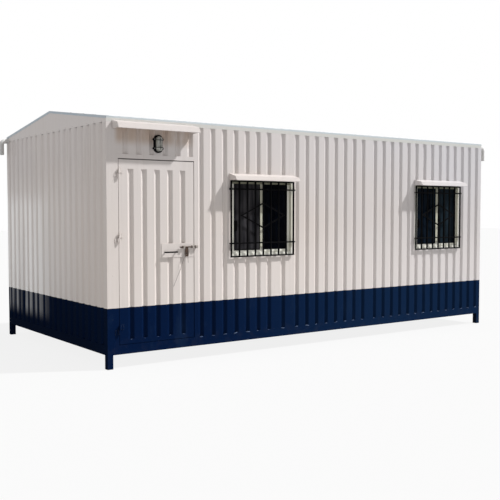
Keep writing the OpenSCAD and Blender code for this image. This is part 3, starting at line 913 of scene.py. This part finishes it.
    @classmethod
    def copies(cls, master: Piece, places: Iterable[Matrix]) -> Piece:
        """Copies a piece to several places, as one piece, and removes the master.

        Args:
            master: The piece to copy, modelled at the origin.
            places: Where the copies go.

        Returns:
            The joined piece.
        """
        made = []
        for place in places:
            copy = master.copy()
            copy.data = master.data.copy()
            copy.data.transform(place)
            bpy.context.scene.collection.objects.link(copy)
            made.append(copy)
        cls.only(made[0])
        for copy in made:
            copy.select_set(True)
        bpy.ops.object.join()
        bpy.data.objects.remove(master)
        return bpy.context.object

    @classmethod
    def screw(cls, washer: float, head: float, height: float) -> Piece:
        """Models a round-headed screw on its washer, standing up from the origin.

        Args:
            washer: Radius of the washer.
            head: Radius of the head.
            height: Height of the head over the washer.

        Returns:
            The screw.
        """
        thick = height * 0.3
        screw = cls.rod(Vector((0, 0, -thick)), Vector((0, 0, thick)), washer, 8)
        with cls.shaping(screw):
            cls.faces(screw, lambda middle, normal: normal.z > ALONG)
            bpy.ops.mesh.inset(thickness=washer - head)
            cls.extrude((0, 0, height * 0.6))
            bpy.ops.mesh.inset(thickness=head * 0.4, depth=height * 0.4)
        return cls.close(screw, 50.0)

    @classmethod
    def ring(cls, low: Vector, high: Vector, face: float) -> Piece:
        """Models an upright rectangular ring that faces the front.

        Args:
            low: Lowest corner.
            high: Highest corner.
            face: Width of its face.

        Returns:
            The ring.
        """
        ring = cls.block(low, high)
        with cls.shaping(ring):
            cls.faces(ring, lambda middle, normal: abs(normal.y) > ALONG)
            bpy.ops.mesh.inset(thickness=face, use_individual=True)
            bpy.ops.mesh.bridge_edge_loops()
            cls.edges(ring, lambda middle, way: abs(middle.y - low.y) < MERGE)
            bpy.ops.mesh.bevel(offset=min(face, high.y - low.y) * 0.3, segments=2, affect="EDGES")
        return cls.close(ring)

    @classmethod
    def hoop(cls, start: Vector, middle: Vector, axis: Vector, wire: float) -> Piece:
        """Models half a hoop of round wire by spinning its section, which turns against the usual hand.

        Args:
            start: Middle of the first section.
            middle: Centre of the hoop.
            axis: Axis of the hoop.
            wire: Radius of the wire.

        Returns:
            The wire.
        """
        hoop = cls.disc(start, axis.cross(start - middle), wire, 8)
        with cls.shaping(hoop):
            bpy.ops.mesh.select_all(action="SELECT")
            bpy.ops.mesh.spin(steps=20, angle=-math.pi, center=middle, axis=axis)
            bpy.ops.mesh.select_mode(type="EDGE")
            bpy.ops.mesh.select_all(action="SELECT")
            bpy.ops.mesh.remove_doubles(threshold=MERGE)
            bpy.ops.mesh.fill_holes(sides=0)
        return cls.close(hoop, 60.0)


@dataclass
class Assembly:
    """A sub-assembly, whose new pieces take their finishes from the store."""

    store: Store

    def dress(
        self, name: str, piece: Piece, slot: Slot, body: Body = Body.CABIN, finish: Paint | None = None,
    ) -> None:
        """Gives a new piece its name, finish, slot and body, and reports it.

        Args:
            name: Name of the piece.
            piece: The piece.
            slot: Slot that its finish belongs to.
            body: Body that it rides on.
            finish: Finish, where it isn't the slot's own.
        """
        piece.name = name
        piece.data.name = name
        (finish or self.store.by_slot[slot]).cover(piece)
        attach(piece, body.value)
        LOG.info("piece %s rides on %s", piece.name, body.value)


@dataclass
class Shell(Assembly):
    """Walls and base: weld beads on the rails, dabs at the groove feet, rivets on the gables."""

    pitch: float = 0.1605
    bead: float = 0.0035
    bead_cuts: int = 70
    bead_seed: int = 5
    rough: float = 0.0012
    rivet: float = 0.006
    rivet_height: float = 0.003
    rivet_pitch: float = 0.19
    rivet_start: float = 0.1
    rivet_up: float = 0.016
    rivet_margin: float = 0.12
    dab_half: Spot = (0.024, 0.005, 0.0045)
    dab_in: float = 0.004
    dab_drop: float = 0.004
    dab_shape_seed: int = 3
    dab_seed: int = 11
    dab_sway: float = 0.012
    dab_lengths: Span = (0.4, 1.2)
    dab_heights: Span = (0.5, 1.1)
    dab_turn: float = 0.3
    leaf_dab: float = 0.62
    leaf_dab_up: float = 0.051
    front_grooves: tuple[tuple[float, int], ...] = ((1.167, 7), (2.346, 1), (2.562, 8), (3.9015, 14))
    leaf_grooves: tuple[tuple[float, int], ...] = ((0.282, 5),)

    def _groove_places(self, runs: Iterable[tuple[float, int]], start: Vector) -> list[Matrix]:
        """Lists places at the feet of grooves, each with its own size and turn.

        Args:
            runs: First groove and number of grooves of each run, from the wall's left end.
            start: Place of a dab at the wall's left end.

        Returns:
            The places.
        """
        chance = random.Random(self.dab_seed)
        places = []
        for first, count in runs:
            for i in range(count):
                across = first + i * self.pitch + chance.uniform(-self.dab_sway, self.dab_sway)
                length, height = chance.uniform(*self.dab_lengths), chance.uniform(*self.dab_heights)
                turn = Matrix.Rotation(chance.uniform(-self.dab_turn, self.dab_turn), 4, "Y")
                size = Matrix.Diagonal((length, 1.0, height, 1.0))
                places.append(Matrix.Translation(start + Vector((across, 0, 0))) @ turn @ size)
        return places

    def _dab(self, scale: float) -> Piece:
        """Models one flat dab of weld and paint.

        Args:
            scale: Factor on its size.

        Returns:
            The dab.
        """
        half = Vector(self.dab_half) * scale
        dab = Bench.block(-half, half)
        with Bench.shaping(dab):
            bpy.ops.mesh.select_all(action="SELECT")
            bpy.ops.mesh.subdivide(number_cuts=2, smoothness=0.3)
            bpy.ops.transform.vertex_random(offset=self.rough, seed=self.dab_shape_seed)
        return Bench.close(dab, 80.0)

    def _bead(self, start: Vector, end: Vector) -> Piece:
        """Models a weld bead across the width.

        Args:
            start: Its start.
            end: Its end.

        Returns:
            The bead.
        """
        bead = Bench.rod(start, end, self.bead, 6)
        with Bench.shaping(bead):
            Bench.edges(bead, lambda middle, way: abs(way.y) > ALONG)
            bpy.ops.mesh.subdivide(number_cuts=self.bead_cuts)
            bpy.ops.mesh.select_all(action="SELECT")
            bpy.ops.transform.vertex_random(offset=self.rough, seed=self.bead_seed)
        return Bench.close(bead, 80.0)

    def _rivets(self, x: float, side: int) -> Piece:
        """Models the row of rivets along the foot of a gable.

        Args:
            x: Place of the wall's end.
            side: -1 for the left end and 1 for the right one.

        Returns:
            The rivets.
        """
        low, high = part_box("gable_left")
        count = int((high.y - low.y - self.rivet_margin) / self.rivet_pitch) + 1
        turn = Matrix.Rotation(math.radians(90 * side), 4, "Y")
        start = Vector((x, low.y + self.rivet_start, low.z + self.rivet_up))
        spots = [start + Vector((0, i * self.rivet_pitch, 0)) for i in range(count)]
        rivet = Bench.screw(self.rivet, self.rivet * 0.8, self.rivet_height)
        return Bench.copies(rivet, [Matrix.Translation(spot) @ turn for spot in spots])

    def build(self) -> None:
        """Builds and dresses the pieces."""
        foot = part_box("sheet_middle")[0]
        left, right = (corner.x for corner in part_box("corner_posts"))
        near, far = (corner.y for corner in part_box("sheet_left"))
        start = Vector((left, foot.y + self.dab_in, foot.z - self.dab_drop))
        places = self._groove_places(self.front_grooves, start)
        # The dabs' lighter paint is partly a painted highlight for the glints at the groove feet.
        dabs = Bench.copies(self._dab(1.0), places)
        self.dress("groove_foot_dabs", dabs, Slot.NAVY, finish=self.store.splash)
        start.z = foot.z + self.leaf_dab_up
        places = self._groove_places(self.leaf_grooves, start)
        dabs = Bench.copies(self._dab(self.leaf_dab), places)
        self.dress("leaf_groove_dabs", dabs, Slot.NAVY, Body.DOOR, self.store.splash)
        ends = (("left", left, -1), ("right", right, 1))
        for end, x, _ in ends:
            bead = self._bead(Vector((x, near, foot.z)), Vector((x, far, foot.z)))
            self.dress(f"rail_weld_{end}", bead, Slot.NAVY)
        for end, x, side in ends:
            self.dress(f"gable_rivets_{end}", self._rivets(x, side), Slot.WALL)


@dataclass
class Roof(Assembly):
    """Roof: screws through the sheets, rolled eave edges and flanges behind the spouts."""

    pitch: float = 0.1605
    first: float = 0.150
    ridge_drop: float = 0.0022
    screw: Spot = (0.011, 0.007, 0.005)
    rows: tuple[float, ...] = (0.09, 0.72, 1.37)
    flange: float = 0.041
    flange_thick: float = 0.004
    flange_steps: tuple[Span, ...] = ((0.008, 0.002), (0.003, 0.004))
    flange_height: float = 2.612
    spout_radius: float = 0.030
    roll: float = 0.006

    def _surface(self, across: float, from_ridge: float, side: int) -> Matrix:
        """Gives a place on the roof.

        Args:
            across: Place along the length.
            from_ridge: Distance from the ridge along the width.
            side: -1 for the front slope and 1 for the back one.

        Returns:
            The place, standing up from the slope.
        """
        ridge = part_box("ridge_cap")
        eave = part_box("gutter_front")
        middle = (ridge[0].y + ridge[1].y) / 2
        top = ridge[1].z - self.ridge_drop
        slope = math.atan2(top - eave[1].z, middle - eave[0].y)
        spot = Vector((across, middle + side * from_ridge, top - from_ridge * math.tan(slope)))
        return Matrix.Translation(spot) @ Matrix.Rotation(-side * slope, 4, "X")

    def _eave_roll(self, gutter: str, side: int) -> Piece:
        """Models the rolled edge along the top of a gutter's lip.

        Args:
            gutter: Gutter that carries it.
            side: -1 for the front and 1 for the back.

        Returns:
            The rolled edge.
        """
        low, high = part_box(gutter)
        depth = (low.y if side < 0 else high.y) - side * self.roll
        start, end = (Vector((x, depth, high.z)) for x in (low.x, high.x))
        roll = Bench.rod(start, end, self.roll, 12)
        with Bench.shaping(roll):
            Bench.faces(roll, lambda at, normal: abs(normal.x) > ALONG)
            bpy.ops.mesh.inset(thickness=self.roll * 0.3, depth=-self.roll * 0.4, use_individual=True)
        return Bench.close(roll)

    def _flange(self, middle: Vector, side: int) -> Piece:
        """Models the stepped flange behind a spout.

        Args:
            middle: Middle of its back.
            side: -1 for the left end and 1 for the right one.

        Returns:
            The flange.
        """
        out = Vector((side * self.flange_thick, 0, 0))
        flange = Bench.rod(middle, middle + out, self.flange, 32)
        with Bench.shaping(flange):
            Bench.faces(flange, lambda at, normal: normal.x * side > ALONG)
            for step, height in self.flange_steps:
                bpy.ops.mesh.inset(thickness=step, depth=height)
        return Bench.close(flange)

    def build(self) -> None:
        """Builds and dresses the pieces."""
        low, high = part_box("roof_sheet_front")
        count = int((high.x - low.x - self.first) / self.pitch)
        crests = [low.x + self.first + (i + 0.5) * self.pitch for i in range(count)]
        slopes = (("front", -1), ("back", 1))
        for slope, side in slopes:
            places = [self._surface(x, row, side) for x in crests for row in self.rows]
            screws = Bench.copies(Bench.screw(*self.screw), places)
            self.dress(f"roof_screws_{slope}", screws, Slot.ROOF, finish=self.store.zinc)
        for slope, side in slopes:
            self.dress(f"eave_roll_{slope}", self._eave_roll(f"gutter_{slope}", side), Slot.ROOF)
        spout_low, spout_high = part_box("rain_spouts")
        front, back = spout_low.y + self.spout_radius, spout_high.y - self.spout_radius
        for end, x, depth, side in (("right", high.x, front, 1), ("left", low.x, back, -1)):
            flange = self._flange(Vector((x, depth, self.flange_height)), side)
            self.dress(f"spout_flange_{end}", flange, Slot.SPOUT)


@dataclass
class Doorway(Assembly):
    """Door: canopy hem, seal in the rebate, hinge screws and the binding wires on the hasp."""

    hinge_heights: tuple[float, ...] = (0.415, 1.390, 2.075)
    hinge_axis: float = 0.1395
    screw: Spot = (0.0048, 0.0040, 0.0022)
    screw_out: float = 0.030
    screw_steps: Span = (0.012, 0.037)
    flap: float = 0.004
    seal: float = 0.016
    seal_start: Spot = (-0.003, 0.0015, 0.016)
    seal_end: Spot = (0.006, 0.0048, 0.008)
    hook: Spot = (0.965, 0.0025, 0.020)
    wire: float = 0.0016
    wire_steps: int = 5
    long_way: tuple[Spot, ...] = (
        (0, 0, 0),
        (-0.010, -0.006, -0.010),
        (-0.036, -0.002, -0.032),
        (-0.058, 0.005, -0.090),
        (-0.078, 0.008, -0.150),
        (-0.116, 0.009, -0.235),
        (-0.170, 0.010, -0.350),
    )
    short_way: tuple[Spot, ...] = (
        (0.003, 0, 0),
        (0.007, -0.006, -0.012),
        (0.012, 0.001, -0.040),
        (0.018, 0.004, -0.092),
    )

    def _screws(self, side: int, left: float, face: float) -> Piece:
        """Models the screws of the hinge flaps on one side.

        Args:
            side: -1 for the jamb's flaps and 1 for the leaf's.
            left: Place of the wall's left end.
            face: Depth of the wall's face.

        Returns:
            The screws.
        """
        turn = Matrix.Rotation(math.radians(90), 4, "X")
        x = left + self.hinge_axis + side * self.screw_out
        heights = [z + side * step for z in self.hinge_heights for step in self.screw_steps]
        places = [Matrix.Translation((x, face - self.flap, z)) @ turn for z in heights]
        return Bench.copies(Bench.screw(*self.screw), places)

    def _smooth(self, knots: list[Vector]) -> list[Vector]:
        """Draws a smooth line through knots.

        Args:
            knots: Points to pass.

        Returns:
            The points of the line.
        """
        ends = [2 * knots[0] - knots[1], *knots, 2 * knots[-1] - knots[-2]]
        line = [knots[0].copy()]
        for a, b, c, d in zip(ends, ends[1:], ends[2:], ends[3:]):
            for i in range(1, self.wire_steps + 1):
                t = i / self.wire_steps
                square = 2 * a - 5 * b + 4 * c - d
                cube = 3 * b - a - 3 * c + d
                line.append((2 * b + (c - a) * t + square * t ** 2 + cube * t ** 3) * 0.5)
        return line

    def _wire(self, name: str, route: list[Vector]) -> None:
        """Bends a stiff binding wire along a route, and dresses it.

        Args:
            name: Name of the wire.
            route: Points that it passes, from the hasp on.
        """
        curve = bpy.data.curves.new(name, "CURVE")
        curve.dimensions = "3D"
        curve.bevel_depth = self.wire
        curve.bevel_resolution = 2
        curve.use_fill_caps = True
        spline = curve.splines.new("POLY")
        spline.points.add(len(route) - 1)
        for point, spot in zip(spline.points, route):
            point.co = (*spot, 1.0)
        wire = bpy.data.objects.new(name, curve)
        bpy.context.scene.collection.objects.link(wire)
        self.dress(name, wire, Slot.RUSTY, Body.BOLT)
        length = sum((b - a).length for a, b in zip(route, route[1:]))

    def build(self) -> None:
        """Builds and dresses the pieces."""
        leaf_low, leaf_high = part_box("door_leaf")
        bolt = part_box("latch_bolt")[0]
        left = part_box("corner_posts")[0].x
        self.dress("door_canopy_lip", Bench.lip(*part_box("door_canopy")), Slot.WALL)
        self.dress("hinge_screws_jamb", self._screws(-1, left, leaf_low.y), Slot.WALL)
        self.dress("hinge_screws_leaf", self._screws(1, left, leaf_low.y), Slot.WALL, Body.DOOR)
        # The seal's black also paints the shade in the gap round the leaf.
        start = Vector((leaf_low.x, leaf_high.y, leaf_low.z)) + Vector(self.seal_start)
        seal = Bench.ring(start, leaf_high + Vector(self.seal_end), self.seal)
        self.dress("door_seal_and_gap_shade", seal, Slot.BLACK, finish=self.store.rubber)
        hook = Vector((left, bolt.y, bolt.z)) + Vector(self.hook)
        for name, way in (("binding_wire_long", self.long_way), ("binding_wire_short", self.short_way)):
            self._wire(name, self._smooth([hook + Vector(knot) for knot in way]))


@dataclass
class Lamp(Assembly):
    """Bulkhead lamp: ribbed lens, wire guard and ear screws."""

    lens_sides: int = 48
    lens_rim: float = 0.006
    lens_steps: tuple[Span, ...] = ((0.002, 0.014), (0.005, 0.010), (0.009, 0.006), (0.011, 0.0035))
    rib: float = 0.0012
    rib_pitch: float = 0.006
    guard_wire: float = 0.0030
    guard_gap: float = 0.008
    guard_lifts: Span = (-0.04, 0.04)
    ear_in: float = 0.012
    ear_lift: float = 0.04875
    screw: Spot = (0.0055, 0.0045, 0.003)

    def _lens(self, middle: Vector, radius: float, run: float) -> Piece:
        """Models the domed lens with raised ribs round it.

        Args:
            middle: Middle of its back.
            radius: Radius of its round ends.
            run: Half the length of its straight sides.

        Returns:
            The lens.
        """
        slack = 0.0001
        lens = Bench.disc(middle, Vector((0, -1, 0)), radius, self.lens_sides)
        with Bench.shaping(lens):
            bpy.ops.mesh.select_mode(type="VERT")
            for way in (1, -1):
                bpy.ops.mesh.select_all(action="DESELECT")
                mesh = bmesh.from_edit_mesh(lens.data)
                for vert in mesh.verts:
                    vert.select_set(slack < (vert.co.z - middle.z) * way <= radius + slack)
                bmesh.update_edit_mesh(lens.data)
                bpy.ops.transform.translate(value=(0, 0, way * run))
            Bench.faces(lens, lambda at, normal: True)
            Bench.extrude((0, -self.lens_rim, 0))
            for thick, depth in self.lens_steps:
                bpy.ops.mesh.inset(thickness=thick, depth=depth)
            Bench.faces(
                lens, lambda at, normal: -0.95 < normal.y < -0.02 and round(at.z / self.rib_pitch) % 2 == 0,
            )
            bpy.ops.mesh.inset(thickness=self.rib, depth=self.rib, use_individual=True)
            bpy.ops.mesh.select_mode(type="EDGE")
            bpy.ops.mesh.select_all(action="SELECT")
            bpy.ops.mesh.fill_holes(sides=0)
        return Bench.close(lens, 45.0)

    def _guard(self, middle: Vector, reach: float, tall: float) -> None:
        """Models the wire guard over the lens, and dresses it.

        Args:
            middle: Middle of the lens's back.
            reach: Radius of the hoops across.
            tall: Half the height of the upright hoop.
        """
        for index, lift in enumerate(self.guard_lifts):
            centre = middle + Vector((0, 0, lift))
            start = centre + Vector((-reach, 0, 0))
            hoop = Bench.hoop(start, centre, Vector((0, 0, 1)), self.guard_wire)
            self.dress(f"lamp_guard_across_{index}", hoop, Slot.BLACK)
        start = middle + Vector((0, 0, tall))
        hoop = Bench.hoop(start, middle, Vector((1, 0, 0)), self.guard_wire)
        with Bench.shaping(hoop):
            bpy.ops.mesh.select_all(action="SELECT")
            squeeze = (reach + 2.0 * self.guard_wire) / tall
            bpy.ops.transform.resize(value=(1, squeeze, 1), center_override=middle)
        self.dress("lamp_guard_upright", hoop, Slot.BLACK)

    def build(self) -> None:
        """Builds and dresses the pieces."""
        low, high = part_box("lamp_glass")
        middle = Vector(((low.x + high.x) / 2, high.y, (low.z + high.z) / 2))
        radius, half = (high.x - low.x) / 2, (high.z - low.z) / 2
        lens = self._lens(middle, radius, half - radius)
        self.dress("lamp_lens", lens, Slot.LAMP)
        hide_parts("lamp_glass")
        self._guard(middle, radius + self.guard_gap, half + self.guard_gap)
        body_low, body_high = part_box("lamp_body")
        turn = Matrix.Rotation(math.radians(90), 4, "X")
        ear = (body_high.x - body_low.x) / 2 - self.ear_in
        spots = [middle + Vector((x * ear, 0, z * self.ear_lift)) for x in (-1, 1) for z in (-1, 1)]
        places = [Matrix.Translation(spot) @ turn for spot in spots]
        screws = Bench.copies(Bench.screw(*self.screw), places)
        self.dress("lamp_ear_screws", screws, Slot.BLACK, finish=self.store.zinc)


@dataclass(frozen=True)
class Opening:
    """Edges of one window in the wall."""

    left: float
    face: float
    low: float
    high: float


@dataclass
class Windows(Assembly):
    """Windows: canopy hems, gaskets, head strips, sash pulls, sill tracks and weld dabs on the grilles."""

    width: float = 0.920
    canopy: float = 0.942
    frame: float = 0.022
    sash: float = 0.045
    stile: float = 0.030
    sash_length: float = 0.4605
    sash_depths: Span = (0.008, 0.036)
    sash_thick: float = 0.022
    pane: float = 0.005
    gasket: float = 0.006
    gasket_thick: float = 0.004
    pull_half: Spot = (0.020, 0, 0.064)
    pull_plate: float = 0.003
    pull_grip: float = 0.012
    pull_in: float = 0.026
    pull_up: float = 0.357
    head: float = 0.040
    head_thick: float = 0.009
    head_out: float = 0.0015
    track_in: float = 0.003
    track: Span = (0.003, 0.012)
    bays: int = 8
    lap: float = 0.010
    bar: float = 0.016
    cross_high: float = 0.092
    cross_low: float = 0.155
    weld: float = 0.0105
    weld_thick: float = 0.0022
    weld_in: float = 0.001
    weld_corner: float = 0.002

    def _gaskets(self, opening: Opening) -> Piece:
        """Models the gaskets of one window, one to a pane.

        Args:
            opening: The window.

        Returns:
            The gaskets.
        """
        edge = self.frame + self.sash
        length = self.sash_length - self.sash - self.stile
        first = opening.left + self.frame + self.stile
        second = opening.left + self.width - self.frame - self.stile - length
        made = []
        for start, depth in zip((first, second), self.sash_depths):
            back = opening.face + depth + (self.sash_thick - self.pane) / 2
            low = Vector((start, back - self.gasket_thick, opening.low + edge))
            made.append(Bench.ring(low, Vector((start + length, back, opening.high - edge)), self.gasket))
        Bench.only(made[0])
        made[1].select_set(True)
        bpy.ops.object.join()
        return made[0]

    def _pull(self, opening: Opening) -> Piece:
        """Models a sash pull with a rounded grip on its plate.

        Args:
            opening: The window.

        Returns:
            The pull.
        """
        front = opening.face + self.sash_depths[0] + (self.sash_thick - self.pane) / 2
        across = opening.left + self.frame + self.stile + self.pull_in
        middle = Vector((across, front, opening.low + self.pull_up))
        half = Vector(self.pull_half)
        corner, shoulder, dome = 0.010, 0.004, 0.003
        pull = Bench.block(middle - half - Vector((0, self.pull_plate, 0)), middle + half)
        with Bench.shaping(pull):
            Bench.edges(pull, lambda at, way: abs(way.y) > ALONG)
            bpy.ops.mesh.bevel(offset=corner, segments=4, affect="EDGES")
            Bench.faces(pull, lambda at, normal: normal.y < -ALONG)
            bpy.ops.mesh.inset(thickness=shoulder)
            Bench.extrude((0, -self.pull_grip, 0))
            bpy.ops.mesh.inset(thickness=dome, depth=dome)
        return Bench.close(pull)

    def _head(self, opening: Opening) -> Piece:
        """Models the deep head strip over the panes of a window.

        Args:
            opening: The window.

        Returns:
            The strip.
        """
        lap, corner, slack, border, sunk = 0.003, 0.003, 0.001, 0.006, 0.0008
        foot = opening.high - self.frame - self.sash + lap - self.head
        low = Vector((opening.left + self.frame, opening.face + self.sash_depths[0] - self.head_out, foot))
        strip = Bench.block(low, low + Vector((self.width - 2 * self.frame, self.head_thick, self.head)))
        with Bench.shaping(strip):
            Bench.edges(strip, lambda at, way: abs(way.x) > ALONG and at.z < foot + slack)
            bpy.ops.mesh.bevel(offset=corner, segments=3, affect="EDGES")
            Bench.faces(strip, lambda at, normal: normal.y < -ALONG)
            bpy.ops.mesh.inset(thickness=border, depth=-sunk)
        return Bench.close(strip)

    def _track(self, opening: Opening) -> Piece:
        """Models the fin of a sill track.

        Args:
            opening: The window.

        Returns:
            The track.
        """
        sunk, taper, crest = 0.001, 0.0008, 0.001
        start = opening.left + self.frame
        low = Vector((start, opening.face + self.track_in, opening.low + self.frame - sunk))
        track = Bench.block(low, low + Vector((self.width - 2 * self.frame, *self.track)))
        with Bench.shaping(track):
            Bench.faces(track, lambda at, normal: normal.z > ALONG)
            bpy.ops.mesh.inset(thickness=taper, depth=crest)
        return Bench.close(track)

    def _welds(self, lefts: Iterable[float]) -> Piece:
        """Models the weld dabs where grille bars cross.

        Args:
            lefts: Left edges of the windows.

        Returns:
            The welds.
        """
        half = Vector((self.weld, self.weld_thick, self.weld))
        dab = Bench.block(-half, half)
        with Bench.shaping(dab):
            Bench.edges(dab, lambda at, way: True)
            bpy.ops.mesh.bevel(offset=self.weld_corner, segments=1, affect="EDGES")
        Bench.close(dab, 60.0)
        low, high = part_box("window_grilles")
        step = (self.width + 2 * self.lap - self.bar) / self.bays
        starts = [left - self.lap + self.bar / 2 for left in lefts]
        levels = (low.z + self.cross_low + self.bar / 2, high.z - self.cross_high - self.bar / 2)
        spots = [(start + i * step, z) for start in starts for i in range(self.bays + 1) for z in levels]
        return Bench.copies(dab, [Matrix.Translation((x, low.y + self.weld_in, z)) for x, z in spots])

    def build(self) -> None:
        """Builds and dresses the pieces."""
        low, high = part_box("window_frames")
        canopy_low, canopy_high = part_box("window_canopies")
        lefts = (low.x, high.x - self.width)
        canopies = (canopy_low.x, canopy_high.x - self.canopy)
        for index, (left, start) in enumerate(zip(lefts, canopies), 1):
            opening = Opening(left, low.y, low.z, high.z)
            corner = Vector((start, canopy_low.y, canopy_low.z))
            end = Vector((start + self.canopy, canopy_high.y, canopy_high.z))
            self.dress(f"window_canopy_lip_{index}", Bench.lip(corner, end), Slot.WALL)
            gaskets = self._gaskets(opening)
            self.dress(f"window_gaskets_{index}", gaskets, Slot.BLACK, finish=self.store.rubber)
            # The head strip takes the painted shade coat.
            self.dress(f"head_strip_{index}", self._head(opening), Slot.IVORY, finish=self.store.head_shade_coat)
            self.dress(f"sash_pull_{index}", self._pull(opening), Slot.BLACK)
            self.dress(f"sill_track_{index}", self._track(opening), Slot.IVORY, finish=self.store.frame)
        self.dress("grille_welds", self._welds(lefts), Slot.BLACK)


@dataclass
class Studio:
    """Pale floor, soft light and the camera."""

    fill: float = 0.36
    sky: Colour = rgb(1.0, 0.985, 0.975)
    suns: tuple[tuple[str, float, float, Spot], ...] = (
        ("key", 4.25, 2.0, (-0.610, 0.305, -0.732)),
        ("side", 0.32, 40.0, (0.93, -0.10, -0.30)),
    )
    floor_half: float = 60.0
    floor_tone: Colour = rgb(0.54, 0.54, 0.54)
    floor_white: float = 0.85
    eye: Spot = (-6.688, -9.049, 1.67)
    tilt: float = 87.23
    turn: float = -35.84
    lens: float = 57.1
    sight: float = 500.0

    def _world(self) -> None:
        """Lights the scene evenly, and shows white behind it."""
        world = bpy.data.worlds.new("studio")
        bpy.context.scene.world = world
        graph = Graph(world)
        seen = graph.seen()
        colour = graph.mix(seen, self.sky, WHITE)
        sockets = {"Color": colour, "Strength": seen * (1 - self.fill) + self.fill}
        sky = graph.add("ShaderNodeBackground", {}, sockets)
        graph.add("ShaderNodeOutputWorld", {}, {"Surface": sky.outputs[0]})

    def _floor(self) -> None:
        """Lays the pale floor."""
        Bench.only(None)
        bpy.ops.mesh.primitive_plane_add(size=2 * self.floor_half, location=(0, 0, 0))
        floor = Bench.settle()
        floor.name = "floor"
        material = bpy.data.materials.new("pale_floor")
        graph = Graph(material)
        matt = graph.add("ShaderNodeBsdfDiffuse", {}, {"Color": self.floor_tone})
        glow = graph.add("ShaderNodeEmission", {}, {"Color": WHITE})
        sockets = {0: graph.seen() * self.floor_white, 1: matt.outputs[0], 2: glow.outputs[0]}
        mixed = graph.add("ShaderNodeMixShader", {}, sockets)
        graph.add("ShaderNodeOutputMaterial", {}, {"Surface": mixed.outputs[0]})
        floor.data.materials.append(material)

    def build(self) -> None:
        """Builds floor, light and camera."""
        scene = bpy.context.scene
        scene.view_settings.view_transform = "Standard"
        self._world()
        self._floor()
        for name, energy, angle, way in self.suns:
            light = bpy.data.lights.new(name, "SUN")
            light.energy = energy
            light.angle = math.radians(angle)
            lamp = bpy.data.objects.new(name, light)
            lamp.rotation_euler = Vector(way).to_track_quat("-Z", "Y").to_euler()
            scene.collection.objects.link(lamp)
        data = bpy.data.cameras.new("camera")
        data.lens = self.lens
        data.clip_end = self.sight
        camera = bpy.data.objects.new("camera", data)
        camera.location = self.eye
        camera.rotation_euler = (math.radians(self.tilt), 0.0, math.radians(self.turn))
        scene.collection.objects.link(camera)
        scene.camera = camera


def main() -> None:
    """Builds the scene."""
    logging.basicConfig(level=logging.INFO, format="%(message)s")
    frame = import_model()
    Studio().build()
    store = Store(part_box("gutter_front")[1].z - EAVE_STRIP)
    store.dress(frame)
    for assembly in (Doorway, Shell, Roof, Lamp, Windows):
        assembly(store).build()
        LOG.info("%s done", assembly.__name__)


if __name__ == "__main__":
    main()
